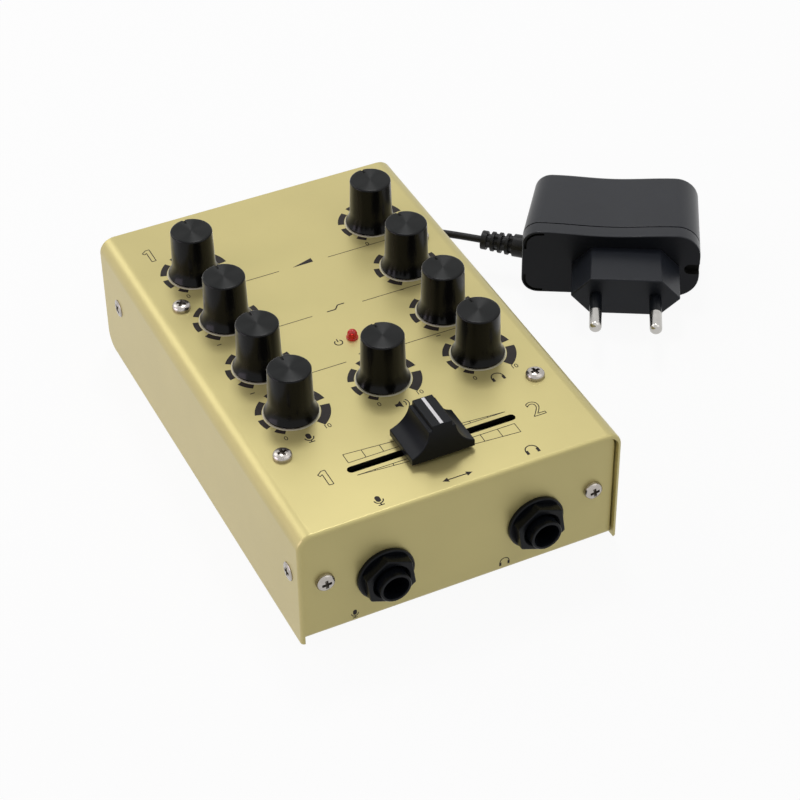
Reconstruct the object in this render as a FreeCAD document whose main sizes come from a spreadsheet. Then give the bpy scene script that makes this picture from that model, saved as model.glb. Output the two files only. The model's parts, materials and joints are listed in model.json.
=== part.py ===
"""Two-channel table-top DJ mixer with its plug-in power adapter, in millimetres.

X runs along the front panel, Y from the front to the rear and Z up from the table.
The origin lies on the table, under the middle of the case.
"""
import FreeCAD
import Part
import math
import operator
import os
import Sketcher
from types import SimpleNamespace

Vector = FreeCAD.Vector
Rotation = FreeCAD.Rotation
Placement = FreeCAD.Placement

# Driving dimensions
SIZES = {
    # Sheet-metal case
    "case_width": 100.0,
    "case_length": 151.0,
    "case_height": 39.7,
    "sheet_wall": 1.2,
    "bend_radius": 4.8,
    "side_corner": 5.0,
    "front_recess": 1.5,
    "rear_recess": 3.5,
    "panel_gap": 0.4,
    "chassis_bend": 2.0,
    "foot_height": 1.5,
    "foot_radius": 5.0,
    "foot_inset": 14.0,
    # Pan-head screws
    "screw_radius": 1.5,
    "screw_length": 6.0,
    "screw_head_radius": 2.8,
    "screw_head_height": 1.9,
    "screw_dome_radius": 3.6,
    "screw_cross_width": 0.7,
    "screw_cross_length": 3.2,
    "screw_cross_depth": 1.1,
    "screw_clearance": 0.1,
    "thread_clearance": 0.05,
    "panel_screw_inset": 8.2,
    "panel_screw_z": 21.7,
    "side_screw_front_inset": 7.1,
    "side_screw_rear_inset": 13.4,
    "side_screw_z": 24.0,
    "top_screw_inset": 10.3,
    "top_screw_front_inset": 32.8,
    "top_screw_rear_inset": 43.1,
    # Corner brackets
    "bracket_thick": 2.0,
    "bracket_edge": 4.8,
    "bracket_height": 12.0,
    # Circuit board
    "standoff_length": 12.0,
    "standoff_radius": 3.0,
    "board_thick": 1.6,
    "board_gap": 0.5,
    # Chips and capacitors under the board
    "chip_length": 9.6,
    "chip_width": 6.4,
    "chip_height": 3.4,
    "chip_pitch": 20.0,
    "capacitor_radius": 3.0,
    "capacitor_height": 8.0,
    "capacitor_pitch": 16.0,
    # Rotary controls
    "column_inset": 20.3,
    "gain_row": 46.7,
    "high_row": 21.4,
    "low_row": -3.4,
    "level_row": -26.1,
    "master_row": -24.4,
    "pot_width": 9.8,
    "pot_depth": 11.3,
    "pot_height": 6.8,
    "pot_floor": 2.0,
    "bush_radius": 3.6,
    "bush_height": 4.0,
    "shaft_radius": 3.0,
    "shaft_clearance": 0.05,
    "shaft_hole_clearance": 0.6,
    # Knobs
    "knob_gap": 0.2,
    "knob_height": 15.8,
    "knob_top_radius": 6.35,
    "knob_waist_radius": 6.6,
    "knob_skirt_radius": 7.9,
    "knob_skirt_edge": 0.6,
    "knob_flare": 5.0,
    "knob_chamfer": 0.5,
    "knob_roof": 3.0,
    "knob_recess": 2.0,
    "knob_rim": 1.4,
    "knob_fit": 0.03,
    "pointer_width": 1.0,
    "pointer_length": 2.4,
    "pointer_depth": 0.6,
    # Crossfader
    "fader_inset": 19.5,
    "slot_length": 52.2,
    "slot_width": 2.6,
    "fader_travel": 45.0,
    "fader_end_room": 5.0,
    "fader_frame_width": 9.0,
    "fader_frame_height": 8.0,
    "fader_frame_wall": 0.8,
    "rail_radius": 0.8,
    "rail_spacing": 4.0,
    "rail_height": 3.4,
    "rail_clearance": 0.05,
    "carriage_length": 10.0,
    "carriage_height": 4.0,
    "carriage_gap": 0.35,
    "lever_width": 4.0,
    "lever_thick": 1.2,
    "lever_reach": 8.0,
    "lever_fit": 0.03,
    "cap_gap": 1.0,
    "cap_width": 19.4,
    "cap_length": 14.6,
    "cap_height": 11.0,
    "cap_wing": 2.2,
    "cap_ridge_width": 6.2,
    "cap_ridge_length": 12.7,
    "cap_shoulder_width": 8.2,
    "cap_shoulder_drop": 1.6,
    "cap_scoop_sink": 1.4,
    # Power LED
    "led_row": -3.2,
    "led_radius": 1.5,
    "led_spacer_radius": 2.2,
    "led_height": 3.3,
    "led_clearance": 0.1,
    # Front jack sockets
    "jack_inset": 26.5,
    "jack_z": 17.0,
    "jack_width": 16.0,
    "jack_depth": 27.0,
    "jack_floor": 8.0,
    "jack_bush_radius": 4.75,
    "jack_bush_clearance": 0.1,
    "jack_nose": 7.2,
    "jack_bore_radius": 3.25,
    "jack_bore_depth": 32.0,
    "jack_mouth": 0.5,
    "jack_nut_flats": 14.0,
    "jack_nut_height": 5.2,
    "jack_nut_turn": 38.0,
    "jack_nut_mouth": 1.0,
    "jack_flange_radius": 8.7,
    "jack_flange_height": 1.3,
    # Rear phono sockets
    "rca_inset": 20.0,
    "rca_z": 19.5,
    "rca_radius": 4.15,
    "rca_wall": 0.6,
    "rca_nose": 8.2,
    "rca_clearance": 0.4,
    "rca_block_depth": 12.0,
    "rca_block_floor": 4.5,
    "rca_block_gap": 0.5,
    "rca_centre_radius": 1.65,
    "rca_contact_depth": 6.0,
    "rca_insert_sink": 0.6,
    "rca_insert_fit": 0.03,
    # Power inlet and its plug
    "inlet_inset": 9.0,
    "inlet_z": 10.8,
    "inlet_radius": 5.5,
    "inlet_thread_radius": 4.0,
    "inlet_depth": 11.0,
    "inlet_flange": 1.5,
    "inlet_bore_radius": 3.0,
    "inlet_pin_radius": 1.0,
    "barrel_radius": 2.75,
    "barrel_bore_radius": 1.25,
    "barrel_length": 9.0,
    "plug_width": 11.0,
    "plug_depth": 11.0,
    "plug_height": 8.8,
    "plug_neck": 10.5,
    "plug_neck_radius": 3.1,
    "plug_tip_radius": 2.0,
    # Phono or line selectors
    "selector_width": 10.0,
    "selector_depth": 6.0,
    "selector_height": 5.6,
    "selector_back": 2.0,
    "selector_stem_width": 3.4,
    "selector_stem_height": 2.0,
    "selector_travel": 4.0,
    "selector_reach": 2.6,
    "selector_clearance": 0.2,
    # Ground post
    "post_inset": 9.0,
    "post_radius": 2.0,
    "post_head_radius": 4.0,
    "post_head_length": 5.0,
    "post_neck": 1.2,
    "post_inside": 4.0,
    # Power adapter
    "adapter_x": 106.0,
    "adapter_y": 27.1,
    "adapter_turn": -29.8,
    "adapter_length": 57.7,
    "adapter_depth": 33.8,
    "adapter_height": 24.2,
    "adapter_front": 5.4,
    "adapter_wall": 2.0,
    "adapter_left_corner": 5.4,
    "adapter_right_corner": 8.0,
    "adapter_dip": 0.9,
    "adapter_back_edge": 1.8,
    "adapter_taper": 3.6,
    "block_shift": 4.8,
    "block_z": 11.9,
    "block_width": 35.3,
    "block_face": 22.4,
    "block_height": 13.7,
    "block_depth": 16.9,
    "pin_spacing": 19.0,
    "pin_radius": 2.0,
    "pin_length": 17.0,
    "pin_bare": 8.6,
    "pin_core_radius": 1.4,
    "pin_root": 8.0,
    "pin_fit": 0.03,
    "recess_inset": 2.4,
    "recess_z": 10.8,
    "recess_radius": 1.6,
    "recess_depth": 1.2,
    "adapter_board_gap": 0.4,
    "adapter_board_width": 18.0,
    "transformer_size": 13.0,
    "boot_length": 13.8,
    "boot_shift": 8.4,
    "boot_z": 12.0,
    "boot_turn": 13.2,
    "boot_root_radius": 3.8,
    "boot_tip_radius": 3.1,
    "boot_groove": 0.7,
    "boot_clearance": 0.3,
    # Cord
    "cord_radius": 1.2,
    "coil_x": 2.0,
    "coil_z": 2.1,
    "coil_radius": 17.1,
    "coil_pitch": 2.9,
    "tie_width": 4.0,
    "tie_thick": 0.7,
    "tie_clearance": 0.2,
}

# Counts
COIL_TURNS = 13.5
COIL_LAYERS = 4
BOOT_RIBS = 4

# The cord's way round from the adapter's boot to its coil, chosen by hand
CORD_ROUTE = [
    (68.9, 63.9, 12.0),
    (63.5, 69.6, 11.3),
    (60.3, 78.0, 9.0),
    (57.0, 88.0, 5.8),
    (50.0, 98.6, 3.2),
    (38.0, 106.8, 1.9),
    (24.0, 112.0, 1.7),
    (12.0, 113.2, 2.1),
]

OPERATIONS = {
    "+": operator.add,
    "-": operator.sub,
    "*": operator.mul,
    "/": operator.truediv,
}
LEFT = 1
RIGHT = -1
COS_30 = math.cos(math.radians(30))
SMALL = 1e-6

doc = FreeCAD.newDocument("DjMixer")
sheet = doc.addObject("Spreadsheet::Sheet", "sheet")
for row, (alias, number) in enumerate(SIZES.items(), start=1):
    sheet.set(f"A{row}", alias)
    sheet.set(f"B{row}", str(number))
    sheet.setAlias(f"B{row}", alias)
doc.recompute()


class Size:
    """A length that carries its number and its formula in the sheet."""

    def __init__(self, number, formula):
        self.number = float(number)
        self.formula = formula

    def __add__(self, other):
        return combine(self, "+", other)

    def __sub__(self, other):
        return combine(self, "-", other)

    def __mul__(self, other):
        return combine(self, "*", other)

    def __truediv__(self, other):
        return combine(self, "/", other)

    def __radd__(self, other):
        return combine(other, "+", self)

    def __rsub__(self, other):
        return combine(other, "-", self)

    def __rmul__(self, other):
        return combine(other, "*", self)

    def __neg__(self):
        return combine(0.0, "-", self)


def lift(value):
    """Gives a plain number the form of a size."""
    if isinstance(value, Size):
        return value
    return Size(value, f"({float(value)!r})")


def combine(first, sign, second):
    """Works out two sizes together, as a number and as a formula."""
    first = lift(first)
    second = lift(second)
    number = OPERATIONS[sign](first.number, second.number)
    return Size(number, f"({first.formula} {sign} {second.formula})")


s = SimpleNamespace(**{alias: Size(sheet.get(alias), f"sheet.{alias}") for alias in SIZES})
nodes = {}


def bind(item, prop, size):
    """Ties one property of a document object to the sheet."""
    item.setExpression(prop, lift(size).formula)


def place(item, x, y, z):
    """Ties an object's position to the sheet."""
    bind(item, "Placement.Base.x", x)
    bind(item, "Placement.Base.y", y)
    bind(item, "Placement.Base.z", z)


def node(item, name):
    """Makes an object one of the part's named pieces."""
    item.Label = name
    nodes[name] = item
    return item


def new_name(kind):
    """Gives each helper object a name of its own."""
    return f"{kind}_{len(doc.Objects)}"


# Primitives and booleans
def box(size, corner):
    """A box by its three lengths and its lowest corner."""
    item = doc.addObject("Part::Box", new_name("box"))
    for prop, length in zip(("Length", "Width", "Height"), size):
        bind(item, prop, length)
    place(item, *corner)
    return item


def centred_box(size, middle):
    """A box by its three lengths and its middle."""
    return box(size, [lift(at) - lift(length) / 2 for length, at in zip(size, middle)])


def rod(radius, length, start, direction=(0, 0, 1)):
    """A cylinder that starts at a point and runs along a direction."""
    item = doc.addObject("Part::Cylinder", new_name("rod"))
    item.Placement = Placement(Vector(), Rotation(Vector(0, 0, 1), Vector(*direction)))
    bind(item, "Radius", radius)
    bind(item, "Height", length)
    place(item, *start)
    return item


def cone(start_radius, end_radius, length, start, direction=(0, 0, 1)):
    """A cone frustum that starts at a point and runs along a direction."""
    item = doc.addObject("Part::Cone", new_name("cone"))
    item.Placement = Placement(Vector(), Rotation(Vector(0, 0, 1), Vector(*direction)))
    bind(item, "Radius1", start_radius)
    bind(item, "Radius2", end_radius)
    bind(item, "Height", length)
    place(item, *start)
    return item


def ball(radius, middle):
    """A sphere by its radius and its middle."""
    item = doc.addObject("Part::Sphere", new_name("ball"))
    bind(item, "Radius", radius)
    place(item, *middle)
    return item


def fuse(items):
    """Joins touching objects into one solid."""
    item = doc.addObject("Part::MultiFuse", new_name("fuse"))
    item.Shapes = items
    item.Refine = True
    return item


def cut(base, tools):
    """Takes tools away from a base."""
    item = doc.addObject("Part::Cut", new_name("cut"))
    item.Base = base
    item.Tool = tools[0] if len(tools) == 1 else fuse(tools)
    return item


def common(first, second):
    """Keeps what two objects share."""
    item = doc.addObject("Part::Common", new_name("common"))
    item.Base = first
    item.Tool = second
    return item


def group(items):
    """Keeps separate solids together as one object."""
    item = doc.addObject("Part::Compound", new_name("group"))
    item.Links = items
    return item


# Sketched bodies
def new_body(name):
    """Starts a sketched body."""
    return doc.addObject("PartDesign::Body", name)


def new_sketch(body, plane, offset=0.0):
    """Puts a sketch on one of the body's own origin planes, moved along the plane's normal."""
    sketch = body.newObject("Sketcher::SketchObject", new_name("sketch"))
    support = [item for item in body.Origin.OriginFeatures if item.Role == plane][0]
    sketch.AttachmentSupport = (support, [""])
    sketch.MapMode = "FlatFace"
    bind(sketch, "AttachmentOffset.Base.z", offset)
    return sketch


def hold(sketch, shape, point, x, y):
    """Holds a sketch point at a place that the sheet gives."""
    for kind, axis, at in (("DistanceX", -2, lift(x)), ("DistanceY", -1, lift(y))):
        if abs(at.number) < SMALL:
            sketch.addConstraint(Sketcher.Constraint("PointOnObject", shape, point, axis))
            continue
        rule = sketch.addConstraint(Sketcher.Constraint(kind, -1, 1, shape, point, at.number))
        bind(sketch, f"Constraints[{rule}]", at)


def flat_arc(start, end, radius, side):
    """An arc of under a half circle between two sketch points, with its centre left or right of the way."""
    chord = end - start
    across = Vector(-chord.y, chord.x, 0).normalize() * side
    rise = math.sqrt(max(radius ** 2 - (chord.Length / 2) ** 2, 0.0))
    middle = (start + end) / 2 + across * rise
    first, last = (start, end) if side == LEFT else (end, start)
    angles = [math.atan2(point.y - middle.y, point.x - middle.x) for point in (first, last)]
    return Part.ArcOfCircle(Part.Circle(middle, Vector(0, 0, 1), radius), *angles)


def outline(sketch, steps):
    """Draws one closed loop: a step (x, y) is a straight edge, a step (x, y, radius, side) an arc."""
    corners = [Vector(lift(step[0]).number, lift(step[1]).number, 0) for step in steps]
    edges = []
    for index, step in enumerate(steps):
        start = corners[index - 1]
        end = corners[index]
        if len(step) == 2:
            edges.append((sketch.addGeometry(Part.LineSegment(start, end)), 1, 2))
            continue
        radius = lift(step[2])
        shape = sketch.addGeometry(flat_arc(start, end, radius.number, step[3]))
        rule = sketch.addConstraint(Sketcher.Constraint("Radius", shape, radius.number))
        bind(sketch, f"Constraints[{rule}]", radius)
        edges.append((shape, 1, 2) if step[3] == LEFT else (shape, 2, 1))
    for index, (shape, first, last) in enumerate(edges):
        following = edges[(index + 1) % len(edges)]
        sketch.addConstraint(Sketcher.Constraint("Coincident", shape, last, following[0], following[1]))
        hold(sketch, shape, last, steps[index][0], steps[index][1])


def circle(sketch, x, y, radius):
    """Draws one circle."""
    radius = lift(radius)
    middle = Vector(lift(x).number, lift(y).number, 0)
    shape = sketch.addGeometry(Part.Circle(middle, Vector(0, 0, 1), radius.number))
    rule = sketch.addConstraint(Sketcher.Constraint("Radius", shape, radius.number))
    bind(sketch, f"Constraints[{rule}]", radius)
    hold(sketch, shape, 3, x, y)


def rectangle(sketch, x, y, width, height):
    """Draws one rectangle about its middle."""
    half_width = lift(width) / 2
    half_height = lift(height) / 2
    outline(sketch, [
        (x + half_width, y - half_height),
        (x + half_width, y + half_height),
        (x - half_width, y + half_height),
        (x - half_width, y - half_height),
    ])


def slot(sketch, y, length, width):
    """Draws one slot along X, with round ends."""
    end = length / 2
    radius = width / 2
    straight = end - radius
    outline(sketch, [
        (straight, y - radius),
        (end, y, radius, LEFT),
        (straight, y + radius, radius, LEFT),
        (-straight, y + radius),
        (-end, y, radius, LEFT),
        (-straight, y - radius, radius, LEFT),
    ])


def pad(body, sketch, length, symmetric=False, reverse=False):
    """Raises a sketch into a solid."""
    feature = body.newObject("PartDesign::Pad", new_name("pad"))
    feature.Profile = sketch
    feature.SideType = "Symmetric" if symmetric else "One side"
    feature.Reversed = reverse
    bind(feature, "Length", length)
    doc.recompute()
    return feature


def loft(body, sketches):
    """Spans a solid from sketch to sketch."""
    feature = body.newObject("PartDesign::AdditiveLoft", new_name("loft"))
    feature.Profile = sketches[0]
    feature.Sections = sketches[1:]
    feature.Ruled = True
    doc.recompute()
    return feature


def pocket(body, sketch, length, symmetric=False, reverse=False):
    """Cuts a sketch out of a body, and makes sure that it cut something."""
    before = body.Shape.Volume
    feature = body.newObject("PartDesign::Pocket", new_name("pocket"))
    feature.Profile = sketch
    feature.SideType = "Symmetric" if symmetric else "One side"
    feature.Reversed = reverse
    bind(feature, "Length", length)
    doc.recompute()
    if body.Shape.Volume > before - SMALL:
        raise RuntimeError(f"{body.Name}: {feature.Name} cuts nothing")
    return feature


def turn(body, sketch):
    """Turns a sketch on the XZ plane about the body's Z axis."""
    feature = body.newObject("PartDesign::Revolution", new_name("turn"))
    feature.Profile = sketch
    feature.ReferenceAxis = (sketch, ["V_Axis"])
    feature.Angle = 360.0
    doc.recompute()
    return feature


def round_edges(body, radius, wanted):
    """Rounds the edges of a body whose end points the test accepts."""
    base = body.Tip
    names = []
    for index, edge in enumerate(base.Shape.Edges, start=1):
        ends = [vertex.Point for vertex in edge.Vertexes]
        if wanted(ends):
            names.append(f"Edge{index}")
    feature = body.newObject("PartDesign::Fillet", new_name("fillet"))
    feature.Base = (base, names)
    bind(feature, "Radius", radius)
    doc.recompute()
    return feature


# Planes of the case
half_width = s.case_width / 2
half_length = s.case_length / 2
floor_z = s.foot_height
top_z = s.foot_height + s.case_height
under_z = top_z - s.sheet_wall
inner_x = half_width - s.sheet_wall
front_y = s.front_recess - half_length
rear_y = half_length - s.rear_recess
front_inner = front_y + s.sheet_wall
rear_inner = rear_y - s.sheet_wall
panel_half = inner_x - s.panel_gap
panel_top = under_z - s.panel_gap
board_top = under_z - s.standoff_length
board_bottom = board_top - s.board_thick
screw_hole = s.screw_radius + s.screw_clearance
thread_hole = s.screw_radius + s.thread_clearance
cut_margin = 1.0

panel_screw_x = half_width - s.panel_screw_inset
top_screw_x = half_width - s.top_screw_inset
column_x = half_width - s.column_inset
jack_x = half_width - s.jack_inset
inlet_x = half_width - s.inlet_inset
post_x = s.post_inset - half_width
rca_x = half_width - s.rca_inset
fader_y = s.fader_inset - half_length

SIDES = (-1, 1)
FRONT_SCREW_Y = s.side_screw_front_inset - half_length
REAR_SCREW_Y = half_length - s.side_screw_rear_inset
TOP_SCREW_ROWS = (s.top_screw_front_inset - half_length, half_length - s.top_screw_rear_inset)
TOP_SCREWS = [(side * top_screw_x, y) for y in TOP_SCREW_ROWS for side in SIDES]
CONTROLS = {
    "gain_1": (-column_x, s.gain_row),
    "high_1": (-column_x, s.high_row),
    "low_1": (-column_x, s.low_row),
    "mic_level": (-column_x, s.level_row),
    "gain_2": (column_x, s.gain_row),
    "high_2": (column_x, s.high_row),
    "low_2": (column_x, s.low_row),
    "cue_level": (column_x, s.level_row),
    "master": (lift(0.0), s.master_row),
}
JACKS = {"mic": -jack_x, "phones": jack_x}
RCA_STEPS = (-2.5, -1.5, -0.5, 0.5, 1.5, 2.5)
rca_pitch = rca_x / RCA_STEPS[-1]
RCA_COLUMNS = [rca_pitch * step for step in RCA_STEPS]
SELECTOR_COLUMNS = [rca_pitch * -2, rca_pitch * 0]
plug_y = rear_y + s.inlet_flange + s.plug_depth / 2
coil_y = plug_y + s.coil_radius
selector_z = board_top + s.selector_height / 2
selector_slot = s.selector_stem_width + s.selector_travel + s.selector_clearance * 2


# Sheet-metal case
def build_cover():
    """The bent cover: top and two sides, with holes for controls and screws."""
    body = new_body("top_cover")
    profile = new_sketch(body, "XZ_Plane")
    bend_x = half_width - s.bend_radius
    bend_z = top_z - s.bend_radius
    inner_bend = s.bend_radius - s.sheet_wall
    outline(profile, [
        (-half_width, floor_z),
        (-half_width, bend_z),
        (-bend_x, top_z, s.bend_radius, RIGHT),
        (bend_x, top_z),
        (half_width, bend_z, s.bend_radius, RIGHT),
        (half_width, floor_z),
        (inner_x, floor_z),
        (inner_x, bend_z),
        (bend_x, under_z, inner_bend, LEFT),
        (-bend_x, under_z),
        (-inner_x, bend_z, inner_bend, LEFT),
        (-inner_x, floor_z),
    ])
    pad(body, profile, s.case_length, symmetric=True)

    top_holes = new_sketch(body, "XY_Plane")
    for x, y in CONTROLS.values():
        circle(top_holes, x, y, s.shaft_radius + s.shaft_hole_clearance)
    for x, y in TOP_SCREWS:
        circle(top_holes, x, y, screw_hole)
    circle(top_holes, 0.0, s.led_row, s.led_radius + s.led_clearance)
    slot(top_holes, fader_y, s.slot_length, s.slot_width)
    pocket(body, top_holes, top_z + cut_margin, reverse=True)

    side_holes = new_sketch(body, "YZ_Plane")
    for y in (FRONT_SCREW_Y, REAR_SCREW_Y):
        circle(side_holes, y, s.side_screw_z, screw_hole)
    pocket(body, side_holes, s.case_width + cut_margin, symmetric=True)

    rear = half_length.number
    low = floor_z.number
    round_edges(body, s.side_corner, lambda ends: all(
        abs(end.y - rear) < SMALL and abs(end.z - low) < SMALL for end in ends))
    return node(body, "top_cover")


def build_chassis():
    """The bent chassis: front panel, floor and rear panel, with their holes."""
    body = new_body("base_chassis")
    profile = new_sketch(body, "YZ_Plane")
    inner_bend = s.chassis_bend - s.sheet_wall
    bend_z = floor_z + s.chassis_bend
    floor_top = floor_z + s.sheet_wall
    outline(profile, [
        (front_y, panel_top),
        (front_y, bend_z),
        (front_y + s.chassis_bend, floor_z, s.chassis_bend, LEFT),
        (rear_y - s.chassis_bend, floor_z),
        (rear_y, bend_z, s.chassis_bend, LEFT),
        (rear_y, panel_top),
        (rear_inner, panel_top),
        (rear_inner, bend_z),
        (rear_y - s.chassis_bend, floor_top, inner_bend, RIGHT),
        (front_y + s.chassis_bend, floor_top),
        (front_inner, bend_z, inner_bend, RIGHT),
        (front_inner, panel_top),
    ])
    pad(body, profile, panel_half * 2, symmetric=True)

    front_holes = new_sketch(body, "XZ_Plane", cut_margin - front_y)
    rear_holes = new_sketch(body, "XZ_Plane", -rear_y - cut_margin)
    for side in SIDES:
        circle(front_holes, side * panel_screw_x, s.panel_screw_z, screw_hole)
        circle(rear_holes, side * panel_screw_x, s.panel_screw_z, screw_hole)
        circle(front_holes, side * jack_x, s.jack_z, s.jack_bush_radius + s.jack_bush_clearance)
    for x in RCA_COLUMNS:
        circle(rear_holes, x, s.rca_z, s.rca_radius + s.rca_clearance)
    for x in SELECTOR_COLUMNS:
        rectangle(rear_holes, x, selector_z, selector_slot, s.selector_stem_height + s.selector_clearance * 2)
    circle(rear_holes, inlet_x, s.inlet_z, s.inlet_thread_radius + s.screw_clearance)
    circle(rear_holes, post_x, s.inlet_z, s.post_radius + s.screw_clearance)
    depth = s.sheet_wall + cut_margin * 2
    pocket(body, front_holes, depth)
    pocket(body, rear_holes, depth, reverse=True)

    side = panel_half.number
    high = panel_top.number
    round_edges(body, s.bend_radius - s.sheet_wall, lambda ends: abs(ends[0].x - ends[-1].x) < SMALL and all(
        abs(abs(end.x) - side) < SMALL and abs(end.z - high) < SMALL for end in ends))
    return node(body, "base_chassis")


def build_feet():
    """Four stick-on rubber feet under the chassis."""
    x = panel_half - s.foot_inset
    feet = []
    for y in (front_y + s.foot_inset, rear_y - s.foot_inset):
        for side in SIDES:
            feet.append(rod(s.foot_radius, s.foot_height, (side * x, y, 0.0)))
    return node(group(feet), "rubber_feet")


def screw(head, direction):
    """One pan-head screw: the head's seat and the way that the head points."""
    way = Vector(*direction)
    back = tuple(-way)

    def along(distance):
        return [at + distance * part for at, part in zip(head, direction)]

    dome = common(
        rod(s.screw_head_radius, s.screw_head_height, head, direction),
        ball(s.screw_dome_radius, along(s.screw_head_height - s.screw_dome_radius)),
    )
    shank = rod(s.screw_radius, s.screw_length, head, back)
    across = [axis for axis in range(3) if not direction[axis]]
    depth_at = along(s.screw_head_height - s.screw_cross_depth / 2)
    cross = []
    for long_axis in across:
        size = [s.screw_cross_width] * 3
        size[long_axis] = s.screw_cross_length
        size[[axis for axis in range(3) if direction[axis]][0]] = s.screw_cross_depth
        cross.append(centred_box(size, depth_at))
    return cut(fuse([dome, shank]), cross)


def build_screws():
    """The panel, side, top and board screws."""
    panel = []
    sides = []
    for side in SIDES:
        x = side * panel_screw_x
        panel.append(screw((x, front_y, s.panel_screw_z), (0, -1, 0)))
        panel.append(screw((x, rear_y, s.panel_screw_z), (0, 1, 0)))
        for y in (FRONT_SCREW_Y, REAR_SCREW_Y):
            sides.append(screw((side * half_width, y, s.side_screw_z), (side, 0, 0)))
    node(group(panel), "panel_screws")
    node(group(sides), "side_screws")
    node(group([screw((x, y, top_z), (0, 0, 1)) for x, y in TOP_SCREWS]), "top_screws")
    node(group([screw((x, y, board_bottom), (0, 0, -1)) for x, y in TOP_SCREWS]), "board_screws")


def build_brackets():
    """Four angles behind the panels' corners, tapped for a panel screw and a side screw."""
    middle_z = (s.panel_screw_z + s.side_screw_z) / 2
    long_x = inner_x - panel_screw_x + s.bracket_edge
    brackets = []
    for side in SIDES:
        for inner, way, screw_y in ((front_inner, 1, FRONT_SCREW_Y), (rear_inner, -1, REAR_SCREW_Y)):
            long_y = way * (screw_y - inner) + s.bracket_edge
            panel_leg = centred_box(
                (long_x, s.bracket_thick, s.bracket_height),
                (side * (inner_x - long_x / 2), inner + way * s.bracket_thick / 2, middle_z),
            )
            side_leg = centred_box(
                (s.bracket_thick, long_y, s.bracket_height),
                (side * (inner_x - s.bracket_thick / 2), inner + way * long_y / 2, middle_z),
            )
            depth = s.bracket_thick + cut_margin * 2
            panel_tap = rod(
                thread_hole, depth,
                (side * panel_screw_x, inner - way * cut_margin, s.panel_screw_z), (0, way, 0))
            side_tap = rod(
                thread_hole, depth,
                (side * (inner_x + cut_margin), screw_y, s.side_screw_z), (-side, 0, 0))
            brackets.append(cut(fuse([panel_leg, side_leg]), [panel_tap, side_tap]))
    return node(group(brackets), "corner_brackets")


# Circuit board
def build_board():
    """The circuit board, its standoffs, and the chips and capacitors under it."""
    board_half = half_width - s.screw_length - s.board_gap
    front = front_inner + s.bracket_thick + s.board_gap
    rear = rear_inner - s.bracket_thick - s.board_gap
    blank = box((board_half * 2, rear - front, s.board_thick), (-board_half, front, board_bottom))
    drills = [rod(screw_hole, s.board_thick + cut_margin * 2, (x, y, board_bottom - cut_margin))
              for x, y in TOP_SCREWS]
    node(cut(blank, drills), "main_board")

    posts = []
    for x, y in TOP_SCREWS:
        post = rod(s.standoff_radius, s.standoff_length, (x, y, board_top))
        tap = rod(thread_hole, s.standoff_length + cut_margin * 2, (x, y, board_top - cut_margin))
        posts.append(cut(post, [tap]))
    node(group(posts), "board_standoffs")

    loose = []
    for row in (-1, 0, 1):
        for side in SIDES:
            loose.append(centred_box(
                (s.chip_width, s.chip_length, s.chip_height),
                (side * s.chip_pitch / 2, row * s.chip_pitch, board_bottom - s.chip_height / 2),
            ))
            loose.append(rod(
                s.capacitor_radius, s.capacitor_height,
                (side * s.chip_pitch * 1.2, row * s.capacitor_pitch, board_bottom), (0, 0, -1)))
    node(group(loose), "board_components")


# Rotary controls
def build_pots():
    """The nine control bodies on the board, each with its bush, and their shafts."""
    bodies = []
    bore_radius = s.shaft_radius + s.shaft_clearance
    shaft_foot = board_top + s.pot_floor
    shaft_top = top_z + s.knob_gap + s.knob_height - s.knob_roof
    for name, (x, y) in CONTROLS.items():
        case = box((s.pot_width, s.pot_depth, s.pot_height),
                   (x - s.pot_width / 2, y - s.pot_depth / 2, board_top))
        bush = rod(s.bush_radius, s.bush_height, (x, y, board_top + s.pot_height))
        bore = rod(bore_radius, s.pot_height + s.bush_height, (x, y, shaft_foot - s.shaft_clearance))
        bodies.append(cut(fuse([case, bush]), [bore]))
        node(rod(s.shaft_radius, shaft_top - shaft_foot - s.knob_fit, (x, y, shaft_foot)), f"{name}_shaft")
    node(group(bodies), "pot_bodies")


def build_knob(name, x, y):
    """A knob: straight body, skirt that flares out, bored for the shaft, with a pointer notch at the rear."""
    body = new_body(f"{name}_knob")
    profile = new_sketch(body, "XZ_Plane")
    bore = s.shaft_radius + s.knob_fit
    flare_out = s.knob_skirt_radius - s.knob_waist_radius
    flare_up = s.knob_flare - s.knob_skirt_edge
    flare_radius = (flare_out * flare_out + flare_up * flare_up) / (flare_out * 2)
    rim = s.knob_skirt_radius - s.knob_rim
    outline(profile, [
        (bore, s.knob_recess),
        (rim, s.knob_recess),
        (rim, 0.0),
        (s.knob_skirt_radius, 0.0),
        (s.knob_skirt_radius, s.knob_skirt_edge),
        (s.knob_waist_radius, s.knob_flare, flare_radius, RIGHT),
        (s.knob_top_radius, s.knob_height - s.knob_chamfer),
        (s.knob_top_radius - s.knob_chamfer, s.knob_height),
        (0.0, s.knob_height),
        (0.0, s.knob_height - s.knob_roof),
        (bore, s.knob_height - s.knob_roof),
    ])
    turn(body, profile)
    notch = new_sketch(body, "XY_Plane", s.knob_height - s.pointer_depth)
    inner = s.knob_top_radius - s.pointer_length
    rectangle(notch, lift(0.0), inner + s.pointer_length, s.pointer_width, s.pointer_length * 2)
    pocket(body, notch, s.pointer_depth * 2, reverse=True)
    place(body, x, y, top_z + s.knob_gap)
    return node(body, f"{name}_knob")


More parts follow.
